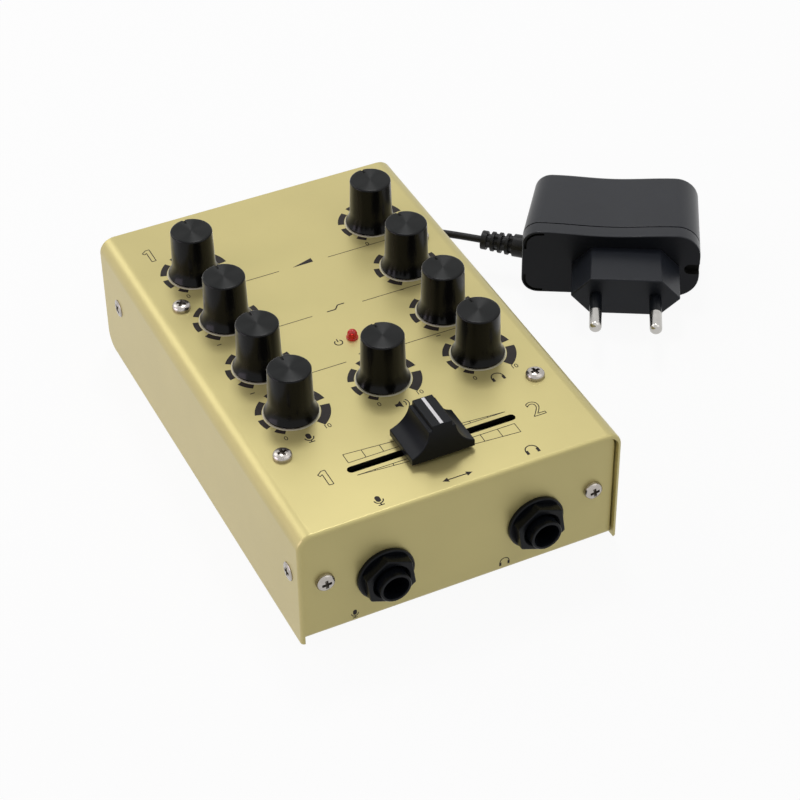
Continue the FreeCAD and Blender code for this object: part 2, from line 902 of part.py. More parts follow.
# Crossfader
def build_fader():
    """The crossfader: channel frame on the board, two rails, sliding carriage with its lever, and the cap."""
    y = fader_y
    length = s.fader_travel + s.carriage_length + (s.fader_end_room + s.fader_frame_wall) * 2
    wall = s.fader_frame_wall
    frame_size = (length, s.fader_frame_width, s.fader_frame_height)
    channel_size = (length - wall * 2, s.fader_frame_width - wall * 2, s.fader_frame_height)
    frame = centred_box(frame_size, (0.0, y, board_top + s.fader_frame_height / 2))
    channel = centred_box(channel_size, (0.0, y, board_top + wall + s.fader_frame_height / 2))
    rail_z = board_top + s.rail_height
    rail_rows = [y - s.rail_spacing / 2, y + s.rail_spacing / 2]
    sockets = [rod(s.rail_radius, length + cut_margin * 2, (-length / 2 - cut_margin, row, rail_z), (1, 0, 0))
               for row in rail_rows]
    node(cut(frame, [channel] + sockets), "fader_frame")
    node(group([rod(s.rail_radius, length, (-length / 2, row, rail_z), (1, 0, 0)) for row in rail_rows]),
         "fader_rails")

    carriage_width = s.fader_frame_width - wall * 2 - s.carriage_gap * 2
    block = centred_box((s.carriage_length, carriage_width, s.carriage_height), (0.0, y, rail_z))
    lever_top = top_z + s.lever_reach
    lever = box((s.lever_width, s.lever_thick, lever_top - rail_z),
                (-s.lever_width / 2, y - s.lever_thick / 2, rail_z))
    holes = [rod(s.rail_radius + s.rail_clearance, s.carriage_length + cut_margin * 2,
                 (-s.carriage_length / 2 - cut_margin, row, rail_z), (1, 0, 0)) for row in rail_rows]
    node(cut(fuse([block, lever]), holes), "fader_carriage")

    body = new_body("fader_cap")
    side = new_sketch(body, "YZ_Plane")
    outline(side, [
        (s.cap_length / 2, 0.0),
        (s.cap_length / 2, s.cap_wing),
        (s.cap_ridge_length / 2, s.cap_height),
        (-s.cap_ridge_length / 2, s.cap_height),
        (-s.cap_length / 2, s.cap_wing),
        (-s.cap_length / 2, 0.0),
    ])
    pad(body, side, s.cap_width, symmetric=True)
    scoops = new_sketch(body, "XZ_Plane")
    shoulder_x = s.cap_shoulder_width / 2
    shoulder_z = s.cap_height - s.cap_shoulder_drop
    ridge_x = s.cap_ridge_width / 2
    outer_x = s.cap_width / 2
    clear_z = s.cap_height + cut_margin
    run_x = outer_x - shoulder_x
    run_z = shoulder_z - s.cap_wing
    sink = s.cap_scoop_sink
    scoop_radius = ((run_x * run_x + run_z * run_z) / 4 + sink * sink) / (sink * 2)
    outline(scoops, [
        (outer_x, clear_z),
        (ridge_x, clear_z),
        (ridge_x, shoulder_z),
        (shoulder_x, shoulder_z),
        (outer_x, s.cap_wing, scoop_radius, LEFT),
    ])
    outline(scoops, [
        (-outer_x, s.cap_wing),
        (-shoulder_x, shoulder_z, scoop_radius, LEFT),
        (-ridge_x, shoulder_z),
        (-ridge_x, clear_z),
        (-outer_x, clear_z),
    ])
    pocket(body, scoops, s.cap_length + cut_margin, symmetric=True)
    socket = new_sketch(body, "XY_Plane")
    rectangle(socket, lift(0.0), lift(0.0), s.lever_width + s.lever_fit * 2, s.lever_thick + s.lever_fit * 2)
    pocket(body, socket, s.lever_reach - s.cap_gap + s.lever_fit, reverse=True)
    place(body, 0.0, y, top_z + s.cap_gap)
    node(body, "fader_cap")


def build_led():
    """The power LED: domed lens through the cover, on a spacer that stands on the board."""
    body = new_body("power_led")
    profile = new_sketch(body, "XZ_Plane")
    spacer_top = under_z - board_top - s.led_clearance
    lens_top = top_z - board_top + s.led_height
    outline(profile, [
        (0.0, 0.0),
        (s.led_spacer_radius, 0.0),
        (s.led_spacer_radius, spacer_top),
        (s.led_radius, spacer_top),
        (s.led_radius, lens_top - s.led_radius),
        (0.0, lens_top, s.led_radius, LEFT),
    ])
    turn(body, profile)
    place(body, 0.0, s.led_row, board_top)
    return node(body, "power_led")


# Sockets and switches
def build_jack(name, x):
    """A front jack socket under the board, its bush through the panel, and its flanged hexagon nut."""
    z = s.jack_z
    case = box((s.jack_width, s.jack_depth, board_bottom - z + s.jack_floor),
               (x - s.jack_width / 2, front_inner, z - s.jack_floor))
    nose_y = front_y - s.jack_nose
    bush = rod(s.jack_bush_radius, s.jack_nose + s.sheet_wall + cut_margin, (x, nose_y, z), (0, 1, 0))
    bore = rod(s.jack_bore_radius, s.jack_bore_depth, (x, nose_y, z), (0, 1, 0))
    mouth = cone(s.jack_bore_radius + s.jack_mouth, s.jack_bore_radius, s.jack_mouth,
                 (x, nose_y, z), (0, 1, 0))
    node(cut(fuse([case, bush]), [bore, mouth]), f"{name}_jack_body")

    body = new_body(f"{name}_jack_nut")
    flange = new_sketch(body, "XZ_Plane")
    circle(flange, 0.0, 0.0, s.jack_flange_radius)
    pad(body, flange, s.jack_flange_height)
    hexagon = new_sketch(body, "XZ_Plane")
    corner = s.jack_nut_flats / 2 / COS_30
    angles = [math.radians(s.jack_nut_turn.number + 60 * step) for step in range(6)]
    outline(hexagon, [(corner * math.cos(angle), corner * math.sin(angle)) for angle in angles])
    pad(body, hexagon, s.jack_nut_height)
    thread = new_sketch(body, "XZ_Plane")
    thread_radius = s.jack_bush_radius + s.thread_clearance
    circle(thread, 0.0, 0.0, thread_radius)
    pocket(body, thread, s.jack_nut_height * 2 + cut_margin, symmetric=True)
    place(body, x, front_y, z)
    countersink = cone(thread_radius + s.jack_nut_mouth, thread_radius, s.jack_nut_mouth,
                       (x, front_y - s.jack_nut_height, z), (0, 1, 0))
    return node(cut(body, [countersink]), f"{name}_jack_nut")


def build_rca():
    """Three twin phono sockets: blocks under the board, metal shells and plastic inserts left and right."""
    blocks = []
    block_height = board_bottom - s.rca_z + s.rca_block_floor
    for pair in (0, 2, 4):
        low_x = RCA_COLUMNS[pair] - rca_pitch / 2 + s.rca_block_gap / 2
        block = box(
            (rca_pitch * 2 - s.rca_block_gap, s.rca_block_depth, block_height),
            (low_x, rear_inner - s.rca_block_depth, s.rca_z - s.rca_block_floor),
        )
        contacts = [rod(s.rca_centre_radius, s.rca_contact_depth, (x, rear_inner, s.rca_z), (0, -1, 0))
                    for x in RCA_COLUMNS[pair:pair + 2]]
        blocks.append(cut(block, contacts))
    node(group(blocks), "rca_blocks")
    reach = s.rca_nose + s.sheet_wall
    shells = []
    inserts = []
    for x in RCA_COLUMNS:
        start = (x, rear_inner, s.rca_z)
        inner = s.rca_radius - s.rca_wall
        shells.append(cut(rod(s.rca_radius, reach, start, (0, 1, 0)), [rod(inner, reach, start, (0, 1, 0))]))
        insert = rod(inner - s.rca_insert_fit, reach - s.rca_insert_sink, start, (0, 1, 0))
        inserts.append(cut(insert, [rod(s.rca_centre_radius, reach, start, (0, 1, 0))]))
    node(group(shells), "rca_shells")
    node(group(inserts[0::2]), "rca_inserts_left")
    node(group(inserts[1::2]), "rca_inserts_right")


def build_inlet():
    """The power inlet in the rear panel: flange outside, body inside, bore and centre pin."""
    x = inlet_x
    z = s.inlet_z
    outer_y = rear_y + s.inlet_flange
    inside = rod(s.inlet_thread_radius, s.inlet_depth + s.sheet_wall, (x, rear_y, z), (0, -1, 0))
    flange = rod(s.inlet_radius, s.inlet_flange, (x, rear_y, z), (0, 1, 0))
    bore = rod(s.inlet_bore_radius, s.barrel_length + cut_margin, (x, outer_y, z), (0, -1, 0))
    pin = rod(s.inlet_pin_radius, s.barrel_length + cut_margin, (x, outer_y, z), (0, -1, 0))
    node(cut(fuse([inside, flange]), [cut(bore, [pin])]), "dc_inlet")

    grip = centred_box((s.plug_width, s.plug_depth, s.plug_height), (x, plug_y, z))
    barrel = rod(s.barrel_radius, s.barrel_length, (x, outer_y, z), (0, -1, 0))
    neck = cone(s.plug_neck_radius, s.plug_tip_radius, s.plug_neck,
                (x - s.plug_width / 2, plug_y, z), (-1, 0, 0))
    hole = rod(s.barrel_bore_radius, s.barrel_length + cut_margin, (x, outer_y + cut_margin, z), (0, -1, 0))
    node(cut(fuse([grip, barrel, neck]), [hole]), "dc_plug")


def build_selectors():
    """Two phono or line slide switches on the board, each with a stem through the rear panel."""
    stem_foot = rear_inner - s.selector_depth + s.selector_back
    bodies = []
    for number, x in enumerate(SELECTOR_COLUMNS, start=1):
        case = box((s.selector_width, s.selector_depth, s.selector_height),
                   (x - s.selector_width / 2, rear_inner - s.selector_depth, board_top))
        groove = centred_box(
            (selector_slot, s.selector_depth * 2, s.selector_stem_height + s.selector_clearance * 2),
            (x, stem_foot + s.selector_depth, selector_z))
        bodies.append(cut(case, [groove]))
        start = stem_foot + s.selector_clearance
        stem = box((s.selector_stem_width, rear_y + s.selector_reach - start, s.selector_stem_height),
                   (x - s.selector_travel / 2 - s.selector_stem_width / 2, start,
                    selector_z - s.selector_stem_height / 2))
        node(stem, f"selector_{number}")
    node(group(bodies), "selector_bodies")


def build_post():
    """The ground post: stud through the rear panel, collar and thumb nut."""
    z = s.inlet_z
    stud = rod(s.post_radius, s.post_inside + s.sheet_wall,
               (post_x, rear_inner - s.post_inside, z), (0, 1, 0))
    neck = rod(s.post_radius + s.post_neck, s.post_neck, (post_x, rear_y, z), (0, 1, 0))
    head = rod(s.post_head_radius, s.post_head_length, (post_x, rear_y + s.post_neck, z), (0, 1, 0))
    return node(fuse([stud, neck, head]), "ground_post")


# Power adapter, built about the middle of its front face's lower edge
def stand(item):
    """Turns an adapter piece and sets it on the table."""
    item.Placement = Placement(
        Vector(s.adapter_x.number, s.adapter_y.number, 0), Rotation(Vector(0, 0, 1), s.adapter_turn.number))


def adapter_outline(sketch, inset, taper=0.0):
    """The adapter's outline seen from its pins: rounded ends, a dip in its top, and its left end drawn in."""
    left = inset - s.adapter_length / 2 + taper
    right = s.adapter_length / 2 - inset
    low = lift(inset)
    high = s.adapter_height - inset
    near = s.adapter_left_corner - inset
    far = s.adapter_right_corner - inset
    half_chord = (right - far - left - near) / 2
    dip_radius = (half_chord * half_chord + s.adapter_dip * s.adapter_dip) / (s.adapter_dip * 2)
    outline(sketch, [
        (right - far, low),
        (right, low + far, far, LEFT),
        (right, high - far),
        (right - far, high, far, LEFT),
        (left + near, high, dip_radius, RIGHT),
        (left, high - near, near, LEFT),
        (left, low + near),
        (left + near, low, near, LEFT),
    ])


def cut_boot_hole(body):
    """The hole that holds the boot's root, partly in each shell's end wall."""
    sketch = new_sketch(body, "YZ_Plane", -s.adapter_length / 2 - cut_margin)
    circle(sketch, s.boot_shift, s.boot_z, s.boot_root_radius - s.boot_clearance)
    pocket(body, sketch, s.adapter_wall + cut_margin * 2, reverse=True)


def build_adapter():
    """The adapter: rear shell, front shell with the plug block, pins in their sleeves, and its board."""
    wall = s.adapter_wall
    rear = new_body("adapter_rear_shell")
    edge = s.adapter_back_edge
    run = s.adapter_depth - s.adapter_front
    sections = (
        (s.adapter_front, 0.0, 0.0),
        (s.adapter_depth - edge, 0.0, s.adapter_taper * (run - edge) / run),
        (s.adapter_depth, edge, s.adapter_taper),
    )
    skins = []
    for depth, inset, taper in sections:
        skins.append(new_sketch(rear, "XZ_Plane", -depth))
        adapter_outline(skins[-1], inset, taper)
    loft(rear, skins)
    hollow = new_sketch(rear, "XZ_Plane", -s.adapter_front)
    adapter_outline(hollow, wall, s.adapter_taper)
    pocket(rear, hollow, run - wall)
    cut_boot_hole(rear)
    stand(node(rear, "adapter_rear_shell"))

    front = new_body("adapter_front_shell")
    face = new_sketch(front, "XZ_Plane")
    adapter_outline(face, 0.0)
    pad(front, face, s.adapter_front, reverse=True)
    hollow = new_sketch(front, "XZ_Plane", -s.adapter_front)
    adapter_outline(hollow, wall)
    pocket(front, hollow, s.adapter_front - wall, reverse=True)
    cut_boot_hole(front)
    block = new_sketch(front, "XZ_Plane")
    half_height = s.block_height / 2
    outline(block, [
        (s.block_shift + s.block_width / 2, s.block_z),
        (s.block_shift + s.block_face / 2, s.block_z + half_height),
        (s.block_shift - s.block_face / 2, s.block_z + half_height),
        (s.block_shift - s.block_width / 2, s.block_z),
        (s.block_shift - s.block_face / 2, s.block_z - half_height),
        (s.block_shift + s.block_face / 2, s.block_z - half_height),
    ])
    pad(front, block, s.block_depth)
    sockets = new_sketch(front, "XZ_Plane", s.block_depth)
    pin_columns = [s.block_shift + side * s.pin_spacing / 2 for side in SIDES]
    for x in pin_columns:
        circle(sockets, x, s.block_z, s.pin_core_radius + s.pin_fit)
    pocket(front, sockets, s.pin_root)
    recess = new_sketch(front, "XZ_Plane")
    circle(recess, s.adapter_length / 2 - s.recess_inset, s.recess_z, s.recess_radius)
    pocket(front, recess, s.recess_depth)
    stand(node(front, "adapter_front_shell"))

    pins = []
    sleeves = []
    face_y = -s.block_depth
    covered = s.pin_length - s.pin_bare
    for x in pin_columns:
        core = rod(s.pin_core_radius, s.pin_root + covered, (x, face_y + s.pin_root, s.block_z), (0, -1, 0))
        tip_length = s.pin_bare - s.pin_radius
        tip = rod(s.pin_radius, tip_length, (x, face_y - covered, s.block_z), (0, -1, 0))
        nose = ball(s.pin_radius, (x, face_y - covered - tip_length, s.block_z))
        pins.append(fuse([core, tip, nose]))
        start = (x, face_y, s.block_z)
        sleeve = rod(s.pin_radius, covered, start, (0, -1, 0))
        sleeves.append(cut(sleeve, [rod(s.pin_core_radius + s.pin_fit, covered, start, (0, -1, 0))]))
    stand(node(group(pins), "adapter_pins"))
    stand(node(group(sleeves), "pin_sleeves"))

    inner_y = s.adapter_depth / 2 + wall
    board_left = s.adapter_taper + s.adapter_left_corner + s.adapter_board_gap - s.adapter_length / 2
    board_right = s.adapter_length / 2 - s.adapter_right_corner - s.adapter_board_gap
    middle_x = (board_left + board_right) / 2
    board = centred_box((board_right - board_left, s.adapter_board_width, s.board_thick),
                        (middle_x, inner_y, wall + s.board_thick / 2))
    transformer = centred_box((s.transformer_size, s.transformer_size, s.transformer_size),
                              (middle_x, inner_y, wall + s.board_thick + s.transformer_size / 2))
    stand(node(fuse([board, transformer]), "adapter_board"))


def boot_root():
    """Where the boot's axis leaves the adapter's end wall, and the way it runs, in the adapter's frame."""
    angle = math.radians(s.boot_turn.number)
    root = Vector(-s.adapter_length.number / 2, s.boot_shift.number, s.boot_z.number)
    return root, Vector(-math.cos(angle), math.sin(angle), 0)


def build_boot():
    """The ribbed bend relief: a root held in the shells' end wall, and a tapered boot turned to the cord."""
    root, way = boot_root()
    wide = s.boot_root_radius.number
    base = wide * math.tan(math.radians(s.boot_turn.number))
    length = s.boot_length.number
    step = (length - base) / (BOOT_RIBS * 2 + 1)
    slope = (s.boot_tip_radius.number - wide) / length
    edge = [Vector(0, 0, base)]
    for band in range(BOOT_RIBS * 2 + 1):
        drop = s.boot_groove.number if band % 2 else 0.0
        for height in (base + band * step, base + (band + 1) * step):
            edge.append(Vector(wide + slope * height - drop, 0, height))
    edge.append(Vector(0, 0, length))
    edge.append(edge[0])
    boot = Part.Face(Part.makePolygon(edge)).revolve(Vector(), Vector(0, 0, 1), 360)
    boot.Placement = Placement(root, Rotation(Vector(0, 0, 1), way))
    outside = base + step / 2
    held = Part.makeCylinder(
        (s.boot_root_radius - s.boot_clearance * 2).number, outside + s.adapter_wall.number,
        root - Vector(outside, 0, 0), Vector(1, 0, 0))
    item = doc.addObject("Part::Feature", "strain_relief")
    item.Shape = boot.fuse(held).removeSplitter()
    stand(node(item, "strain_relief"))


# Cord
def cord_path(points):
    """Straight runs joined by tangent arcs, each as large as its two runs allow."""
    edges = []
    radii = []
    last = points[0]
    for before, corner, after in zip(points, points[1:], points[2:]):
        arriving = (corner - before).normalize()
        leaving = (after - corner).normalize()
        half_turn = arriving.getAngle(leaving) / 2
        reach = 0.45 * min(corner.distanceToPoint(before), corner.distanceToPoint(after))
        radius = reach / math.tan(half_turn)
        radii.append(radius)
        start = corner - arriving * reach
        end = corner + leaving * reach
        inward = (leaving - arriving).normalize()
        middle = corner + inward * (radius / math.cos(half_turn) - radius)
        edges.append(Part.LineSegment(last, start).toShape())
        edges.append(Part.Arc(start, middle, end).toShape())
        last = end
    edges.append(Part.LineSegment(last, points[-1]).toShape())
    return Part.Wire(edges), radii


def tube(path, start, direction):
    """A round tube of the cord's thickness along a path."""
    ring = Part.Wire(Part.Circle(start, direction, s.cord_radius.number).toShape())
    return path.makePipeShell([ring], True, False)


def report_tube(name, solid, path):
    """Prints a tube's length and compares its volume with its section times its length."""
    expected = math.pi * s.cord_radius.number ** 2 * path.Length
    print(f"{name}: length {path.Length:.1f}, volume {solid.Volume / expected:.4f} of section times length")


def coil_point(turns):
    """A point of the coil: spiral in and out at a steady rate, climbing a layer where it reverses."""
    stretch = COIL_TURNS / COIL_LAYERS
    layer = min(int(turns / stretch), COIL_LAYERS - 1)
    along = turns - layer * stretch
    inward = along if layer % 2 == 0 else stretch - along
    radius = s.coil_radius.number - s.coil_pitch.number * inward
    height = 0.0
    for climb in range(1, COIL_LAYERS):
        part = min(max((turns - climb * stretch + 0.25) / 0.5, 0.0), 1.0)
        height += part * part * (3 - 2 * part)
    angle = math.pi / 2 + 2 * math.pi * turns
    middle = Vector(s.coil_x.number, coil_y.number, s.coil_z.number)
    layer_rise = (s.inlet_z.number - s.coil_z.number) / (COIL_LAYERS - 1)
    return middle + Vector(radius * math.cos(angle), radius * math.sin(angle), height * layer_rise)


def bend_between(start, way, end):
    """An arc from a point along a direction to an end point."""
    chord = end - start
    half_chord = chord.Length / 2
    turn_angle = way.getAngle(chord)
    if turn_angle < SMALL:
        return Part.LineSegment(start, end).toShape()
    side = (way - chord * (way.dot(chord) / chord.dot(chord))).normalize()
    middle = (start + end) / 2 + side * (half_chord * math.tan(turn_angle / 2))
    return Part.Arc(start, middle, end).toShape()


def biarc(start, way, end, end_way):
    """Two tangent arcs between two points with given directions."""
    chord = end - start
    both = chord.dot(way + end_way)
    spread = 2 * (1 - way.dot(end_way))
    if spread < SMALL:
        reach = chord.dot(chord) / (2 * both)
    else:
        reach = (math.sqrt(both * both + spread * chord.dot(chord)) - both) / spread
    joint = (start + way * reach + end - end_way * reach) / 2
    first = bend_between(start, way, joint)
    second = bend_between(end, -end_way, joint)
    return [first, second]


def build_cord():
    """The cord in three stretches: lead from the adapter, put-away coil and tail to the plug; and its tie."""
    root, way = boot_root()
    boot_tip = nodes["strain_relief"].Placement.multVec(root + way * s.boot_length.number)
    route = [boot_tip] + [Vector(*point) for point in CORD_ROUTE] + [coil_point(0.0)]
    lead_path, radii = cord_path(route)
    print("cord radii:", " ".join(f"{radius:.1f}" for radius in radii))
    lead = tube(lead_path, route[0], route[1] - route[0])
    report_tube("cord_lead", lead, lead_path)

    stub = s.cord_radius.number * 2
    steps = [0.125 + 0.25 * step for step in range(int(COIL_TURNS * 4))]
    delta = 1e-4
    knots = [(coil_point(0.0) + Vector(-stub, 0, 0), Vector(-1, 0, 0))]
    for turns in steps:
        way = (coil_point(turns + delta) - coil_point(turns - delta)).normalize()
        knots.append((coil_point(turns), way))
    coil_end = coil_point(COIL_TURNS)
    knots.append((coil_end + Vector(-stub, 0, 0), Vector(1, 0, 0)))
    edges = [Part.LineSegment(coil_point(0.0), knots[0][0]).toShape()]
    for (start, way), (end, end_way) in zip(knots, knots[1:]):
        edges.extend(biarc(start, way, end, end_way))
    edges.append(Part.LineSegment(knots[-1][0], coil_end).toShape())
    coil_path = Part.Wire(Part.__sortEdges__(edges))
    coil = tube(coil_path, coil_point(0.0), Vector(-1, 0, 0))
    report_tube("cord_coil", coil, coil_path)
    dots = coil_path.discretize(Number=1600)
    skip = int(len(dots) * 0.4 / COIL_TURNS)
    least = min(
        first.distanceToPoint(second)
        for index, first in enumerate(dots) for second in dots[index + skip:])
    print(f"cord_coil: least gap to itself {least - s.cord_radius.number * 2:.2f}")

    neck_end = Vector((inlet_x - s.plug_width / 2 - s.plug_neck).number, coil_end.y, coil_end.z)
    tail_path = Part.Wire(Part.LineSegment(coil_end, neck_end).toShape())
    tail = tube(tail_path, coil_end, Vector(1, 0, 0))
    report_tube("cord_tail", tail, tail_path)
    for name, shape in (("cord_lead", lead), ("cord_coil", coil), ("cord_tail", tail)):
        item = doc.addObject("Part::Feature", name)
        item.Shape = shape
        node(item, name)

    outer = s.coil_radius + s.cord_radius + s.tie_clearance
    inner = s.coil_radius - s.coil_pitch * (COIL_TURNS / COIL_LAYERS) - s.cord_radius - s.tie_clearance
    low = s.coil_z - s.cord_radius - s.tie_clearance
    high = s.inlet_z + s.cord_radius + s.tie_clearance
    middle = (s.coil_x - (outer + inner) / 2, coil_y, (low + high) / 2)
    hole_size = (outer - inner, s.tie_width + cut_margin, high - low)
    band_size = (outer - inner + s.tie_thick * 2, s.tie_width, high - low + s.tie_thick * 2)
    node(cut(centred_box(band_size, middle), [centred_box(hole_size, middle)]), "cord_tie")


build_cover()
build_chassis()
build_feet()
build_screws()
build_brackets()
build_board()
build_pots()
for control, (control_x, control_y) in CONTROLS.items():
    build_knob(control, control_x, control_y)
build_fader()
build_led()
for socket_name, socket_x in JACKS.items():
    build_jack(socket_name, socket_x)
build_rca()
build_inlet()
build_selectors()
build_post()
build_adapter()
build_boot()
build_cord()
doc.recompute()

# Every object is sound before anything is written
for item in doc.Objects:
    if "Invalid" in item.State or "Error" in item.State:
        raise RuntimeError(f"{item.Name} ({item.Label}) failed: {item.State}")
for name, item in nodes.items():
    if item.Shape.isNull() or not item.Shape.isValid() or not item.Shape.Solids:
        raise RuntimeError(f"{name} has no sound solid")

os.makedirs("parts", exist_ok=True)
for name, item in nodes.items():
    item.Shape.exportStep(f"parts/{name}.step")
print(f"{len(nodes)} pieces written")
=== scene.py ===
"""Looks of a small two-channel DJ mixer and its power adapter: finishes, printed marks, cord and studio."""

import json
import logging
import math
from dataclasses import dataclass
from enum import Enum, IntEnum
from typing import Callable, Iterable, Sequence

import bmesh
import bpy
from mathutils import Matrix, Quaternion, Vector

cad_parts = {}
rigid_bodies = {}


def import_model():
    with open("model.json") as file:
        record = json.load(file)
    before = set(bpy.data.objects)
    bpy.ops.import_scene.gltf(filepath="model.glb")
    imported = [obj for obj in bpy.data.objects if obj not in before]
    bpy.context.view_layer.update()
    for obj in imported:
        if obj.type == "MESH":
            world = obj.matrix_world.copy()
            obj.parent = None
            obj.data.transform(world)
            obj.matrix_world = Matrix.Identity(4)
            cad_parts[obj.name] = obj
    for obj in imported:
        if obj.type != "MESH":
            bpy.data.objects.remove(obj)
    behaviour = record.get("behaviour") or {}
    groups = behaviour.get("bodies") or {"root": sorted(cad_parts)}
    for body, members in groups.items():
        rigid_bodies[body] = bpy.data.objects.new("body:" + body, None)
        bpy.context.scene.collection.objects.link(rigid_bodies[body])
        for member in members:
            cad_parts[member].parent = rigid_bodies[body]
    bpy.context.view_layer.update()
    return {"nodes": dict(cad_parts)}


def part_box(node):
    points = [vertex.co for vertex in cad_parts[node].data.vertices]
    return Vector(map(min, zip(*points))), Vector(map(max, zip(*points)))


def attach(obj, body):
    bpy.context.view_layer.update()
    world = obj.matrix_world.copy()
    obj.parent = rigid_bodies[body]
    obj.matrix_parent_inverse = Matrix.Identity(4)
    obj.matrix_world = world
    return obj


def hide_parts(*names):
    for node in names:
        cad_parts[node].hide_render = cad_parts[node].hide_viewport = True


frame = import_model()

MM = 0.001
FULL_TURN = 2 * math.pi
CASE = "case"
SPUN_MAP = "spun"
COAT_ROUGHNESS = 0.12
SHEEN_ROUGHNESS = 0.3
GLOSS_WANDER = 0.12
GRAIN_STRENGTH = 0.5
JOIN_DISTANCE = 1e-4
TOUCH = 1e-3
LOG = logging.getLogger("dj_mixer")

Point = tuple[float, float]
Triple = tuple[float, float, float]
Colour = Triple


# Finishes
class Shader:
    """A material in the making, with short ways to add and join its nodes."""

    def __init__(self, name: str) -> None:
        """Starts a material with one surface shader.

        Args:
            name: The material's name.
        """
        self.material = bpy.data.materials.new(name)
        self.material.use_nodes = True
        self.tree = self.material.node_tree
        self.surface = self.tree.nodes["Principled BSDF"]

    def add(self, kind: str, **values: object) -> bpy.types.Node:
        """Adds a node and sets its inputs.

        Args:
            kind: The node's type.
            values: Input values, with spaces in an input's name as underscores.

        Returns:
            The new node.
        """
        node = self.tree.nodes.new(kind)
        for name, value in values.items():
            node.inputs[name.replace("_", " ")].default_value = value
        return node

    def join(self, source: bpy.types.NodeSocket, target: bpy.types.NodeSocket) -> None:
        """Joins an output to an input."""
        self.tree.links.new(source, target)

    def set(self, **values: object) -> None:
        """Sets inputs of the surface shader."""
        for name, value in values.items():
            self.surface.inputs[name.replace("_", " ")].default_value = value

    def noise(self, size: float, detail: float = 2.0) -> bpy.types.NodeSocket:
        """Adds a noise pattern fixed to the object.

        Args:
            size: The size of its grains, in millimetres.
            detail: How many finer layers it has.

        Returns:
            The pattern's value.
        """
        place = self.add("ShaderNodeTexCoord")
        pattern = self.add("ShaderNodeTexNoise", Scale=1.0 / (size * MM), Detail=detail)
        self.join(place.outputs["Object"], pattern.inputs["Vector"])
        return pattern.outputs["Fac"]

    def spread(self, value: bpy.types.NodeSocket, low: float, high: float) -> bpy.types.NodeSocket:
        """Spreads a pattern's middle range between two numbers.

        Args:
            value: The pattern.
            low: The result at the pattern's low end.
            high: The result at its high end.

        Returns:
            The spread value.
        """
        ramp = self.add("ShaderNodeMapRange", From_Min=0.3, From_Max=0.7, To_Min=low, To_Max=high)
        self.join(value, ramp.inputs["Value"])
        return ramp.outputs["Result"]

    def tint(self, value: bpy.types.NodeSocket, dark: Colour, light: Colour) -> bpy.types.NodeSocket:
        """Mixes two colours by a pattern.

        Args:
            value: The pattern, from 0 to 1.
            dark: The colour at 0.
            light: The colour at 1.

        Returns:
            The mixed colour.
        """
        mix = self.tree.nodes.new("ShaderNodeMix")
        mix.data_type = "RGBA"
        mix.inputs[6].default_value = (*dark, 1.0)
        mix.inputs[7].default_value = (*light, 1.0)
        self.join(value, mix.inputs["Factor"])
        return mix.outputs[2]

    def relief(self, height: bpy.types.NodeSocket, depth: float, strength: float) -> None:
        """Raises the surface by a pattern.

        Args:
            height: The pattern.
            depth: Its depth in millimetres.
            strength: How much of it shows.
        """
        bump = self.add("ShaderNodeBump", Strength=strength, Distance=depth * MM)
        self.join(height, bump.inputs["Height"])
        self.join(bump.outputs["Normal"], self.surface.inputs["Normal"])


@dataclass(frozen=True)
class Finish:
    """A surface finish with a slight wander of tone and gloss and a fine grain.

    Attributes:
        name: The finish's name.
        colour: Its middle colour.
        roughness: Its middle roughness.
        metallic: How metallic it is.
        wander: The share by which its tone wanders.
        patch: The size of the wandering patches, in millimetres.
        grain: The size of the grain, in millimetres.
        depth: The depth of the grain, in millimetres.
        coat: The weight of a clear coat.
        specular: The level of its reflections.
        sheen: The weight of the soft light at its rims.
    """

    name: str
    colour: Colour
    roughness: float
    metallic: float = 0.0
    wander: float = 0.08
    patch: float = 3.0
    grain: float = 0.3
    depth: float = 0.004
    coat: float = 0.0
    specular: float = 0.5
    sheen: float = 0.0

    def shader(self) -> Shader:
        """Makes the finish's shader."""
        shader = Shader(self.name)
        shader.set(Metallic=self.metallic, Coat_Weight=self.coat, Coat_Roughness=COAT_ROUGHNESS)
        shader.set(Specular_IOR_Level=self.specular, Sheen_Weight=self.sheen, Sheen_Roughness=SHEEN_ROUGHNESS)
        patches = shader.noise(self.patch, 3.0)
        dark = tuple(part * (1 - self.wander) for part in self.colour)
        light = tuple(part * (1 + self.wander) for part in self.colour)
        tone = shader.spread(patches, 0.0, 1.0)
        shader.join(shader.tint(tone, dark, light), shader.surface.inputs["Base Color"])
        grain = shader.noise(self.grain)
        gloss = shader.spread(grain, self.roughness * (1 - GLOSS_WANDER), self.roughness * (1 + GLOSS_WANDER))
        shader.join(gloss, shader.surface.inputs["Roughness"])
        shader.relief(self.height(shader, grain), self.depth, GRAIN_STRENGTH)
        return shader

    def height(self, shader: Shader, grain: bpy.types.NodeSocket) -> bpy.types.NodeSocket:
        """Gives the pattern that raises the surface.

        Args:
            shader: The shader in the making. Not used here.
            grain: The finish's grain.

        Returns:
            The pattern.
        """
        return grain

    def material(self) -> bpy.types.Material:
        """Gives the finish's material, made once."""
        made = bpy.data.materials.get(self.name)
        return made if made else self.shader().material


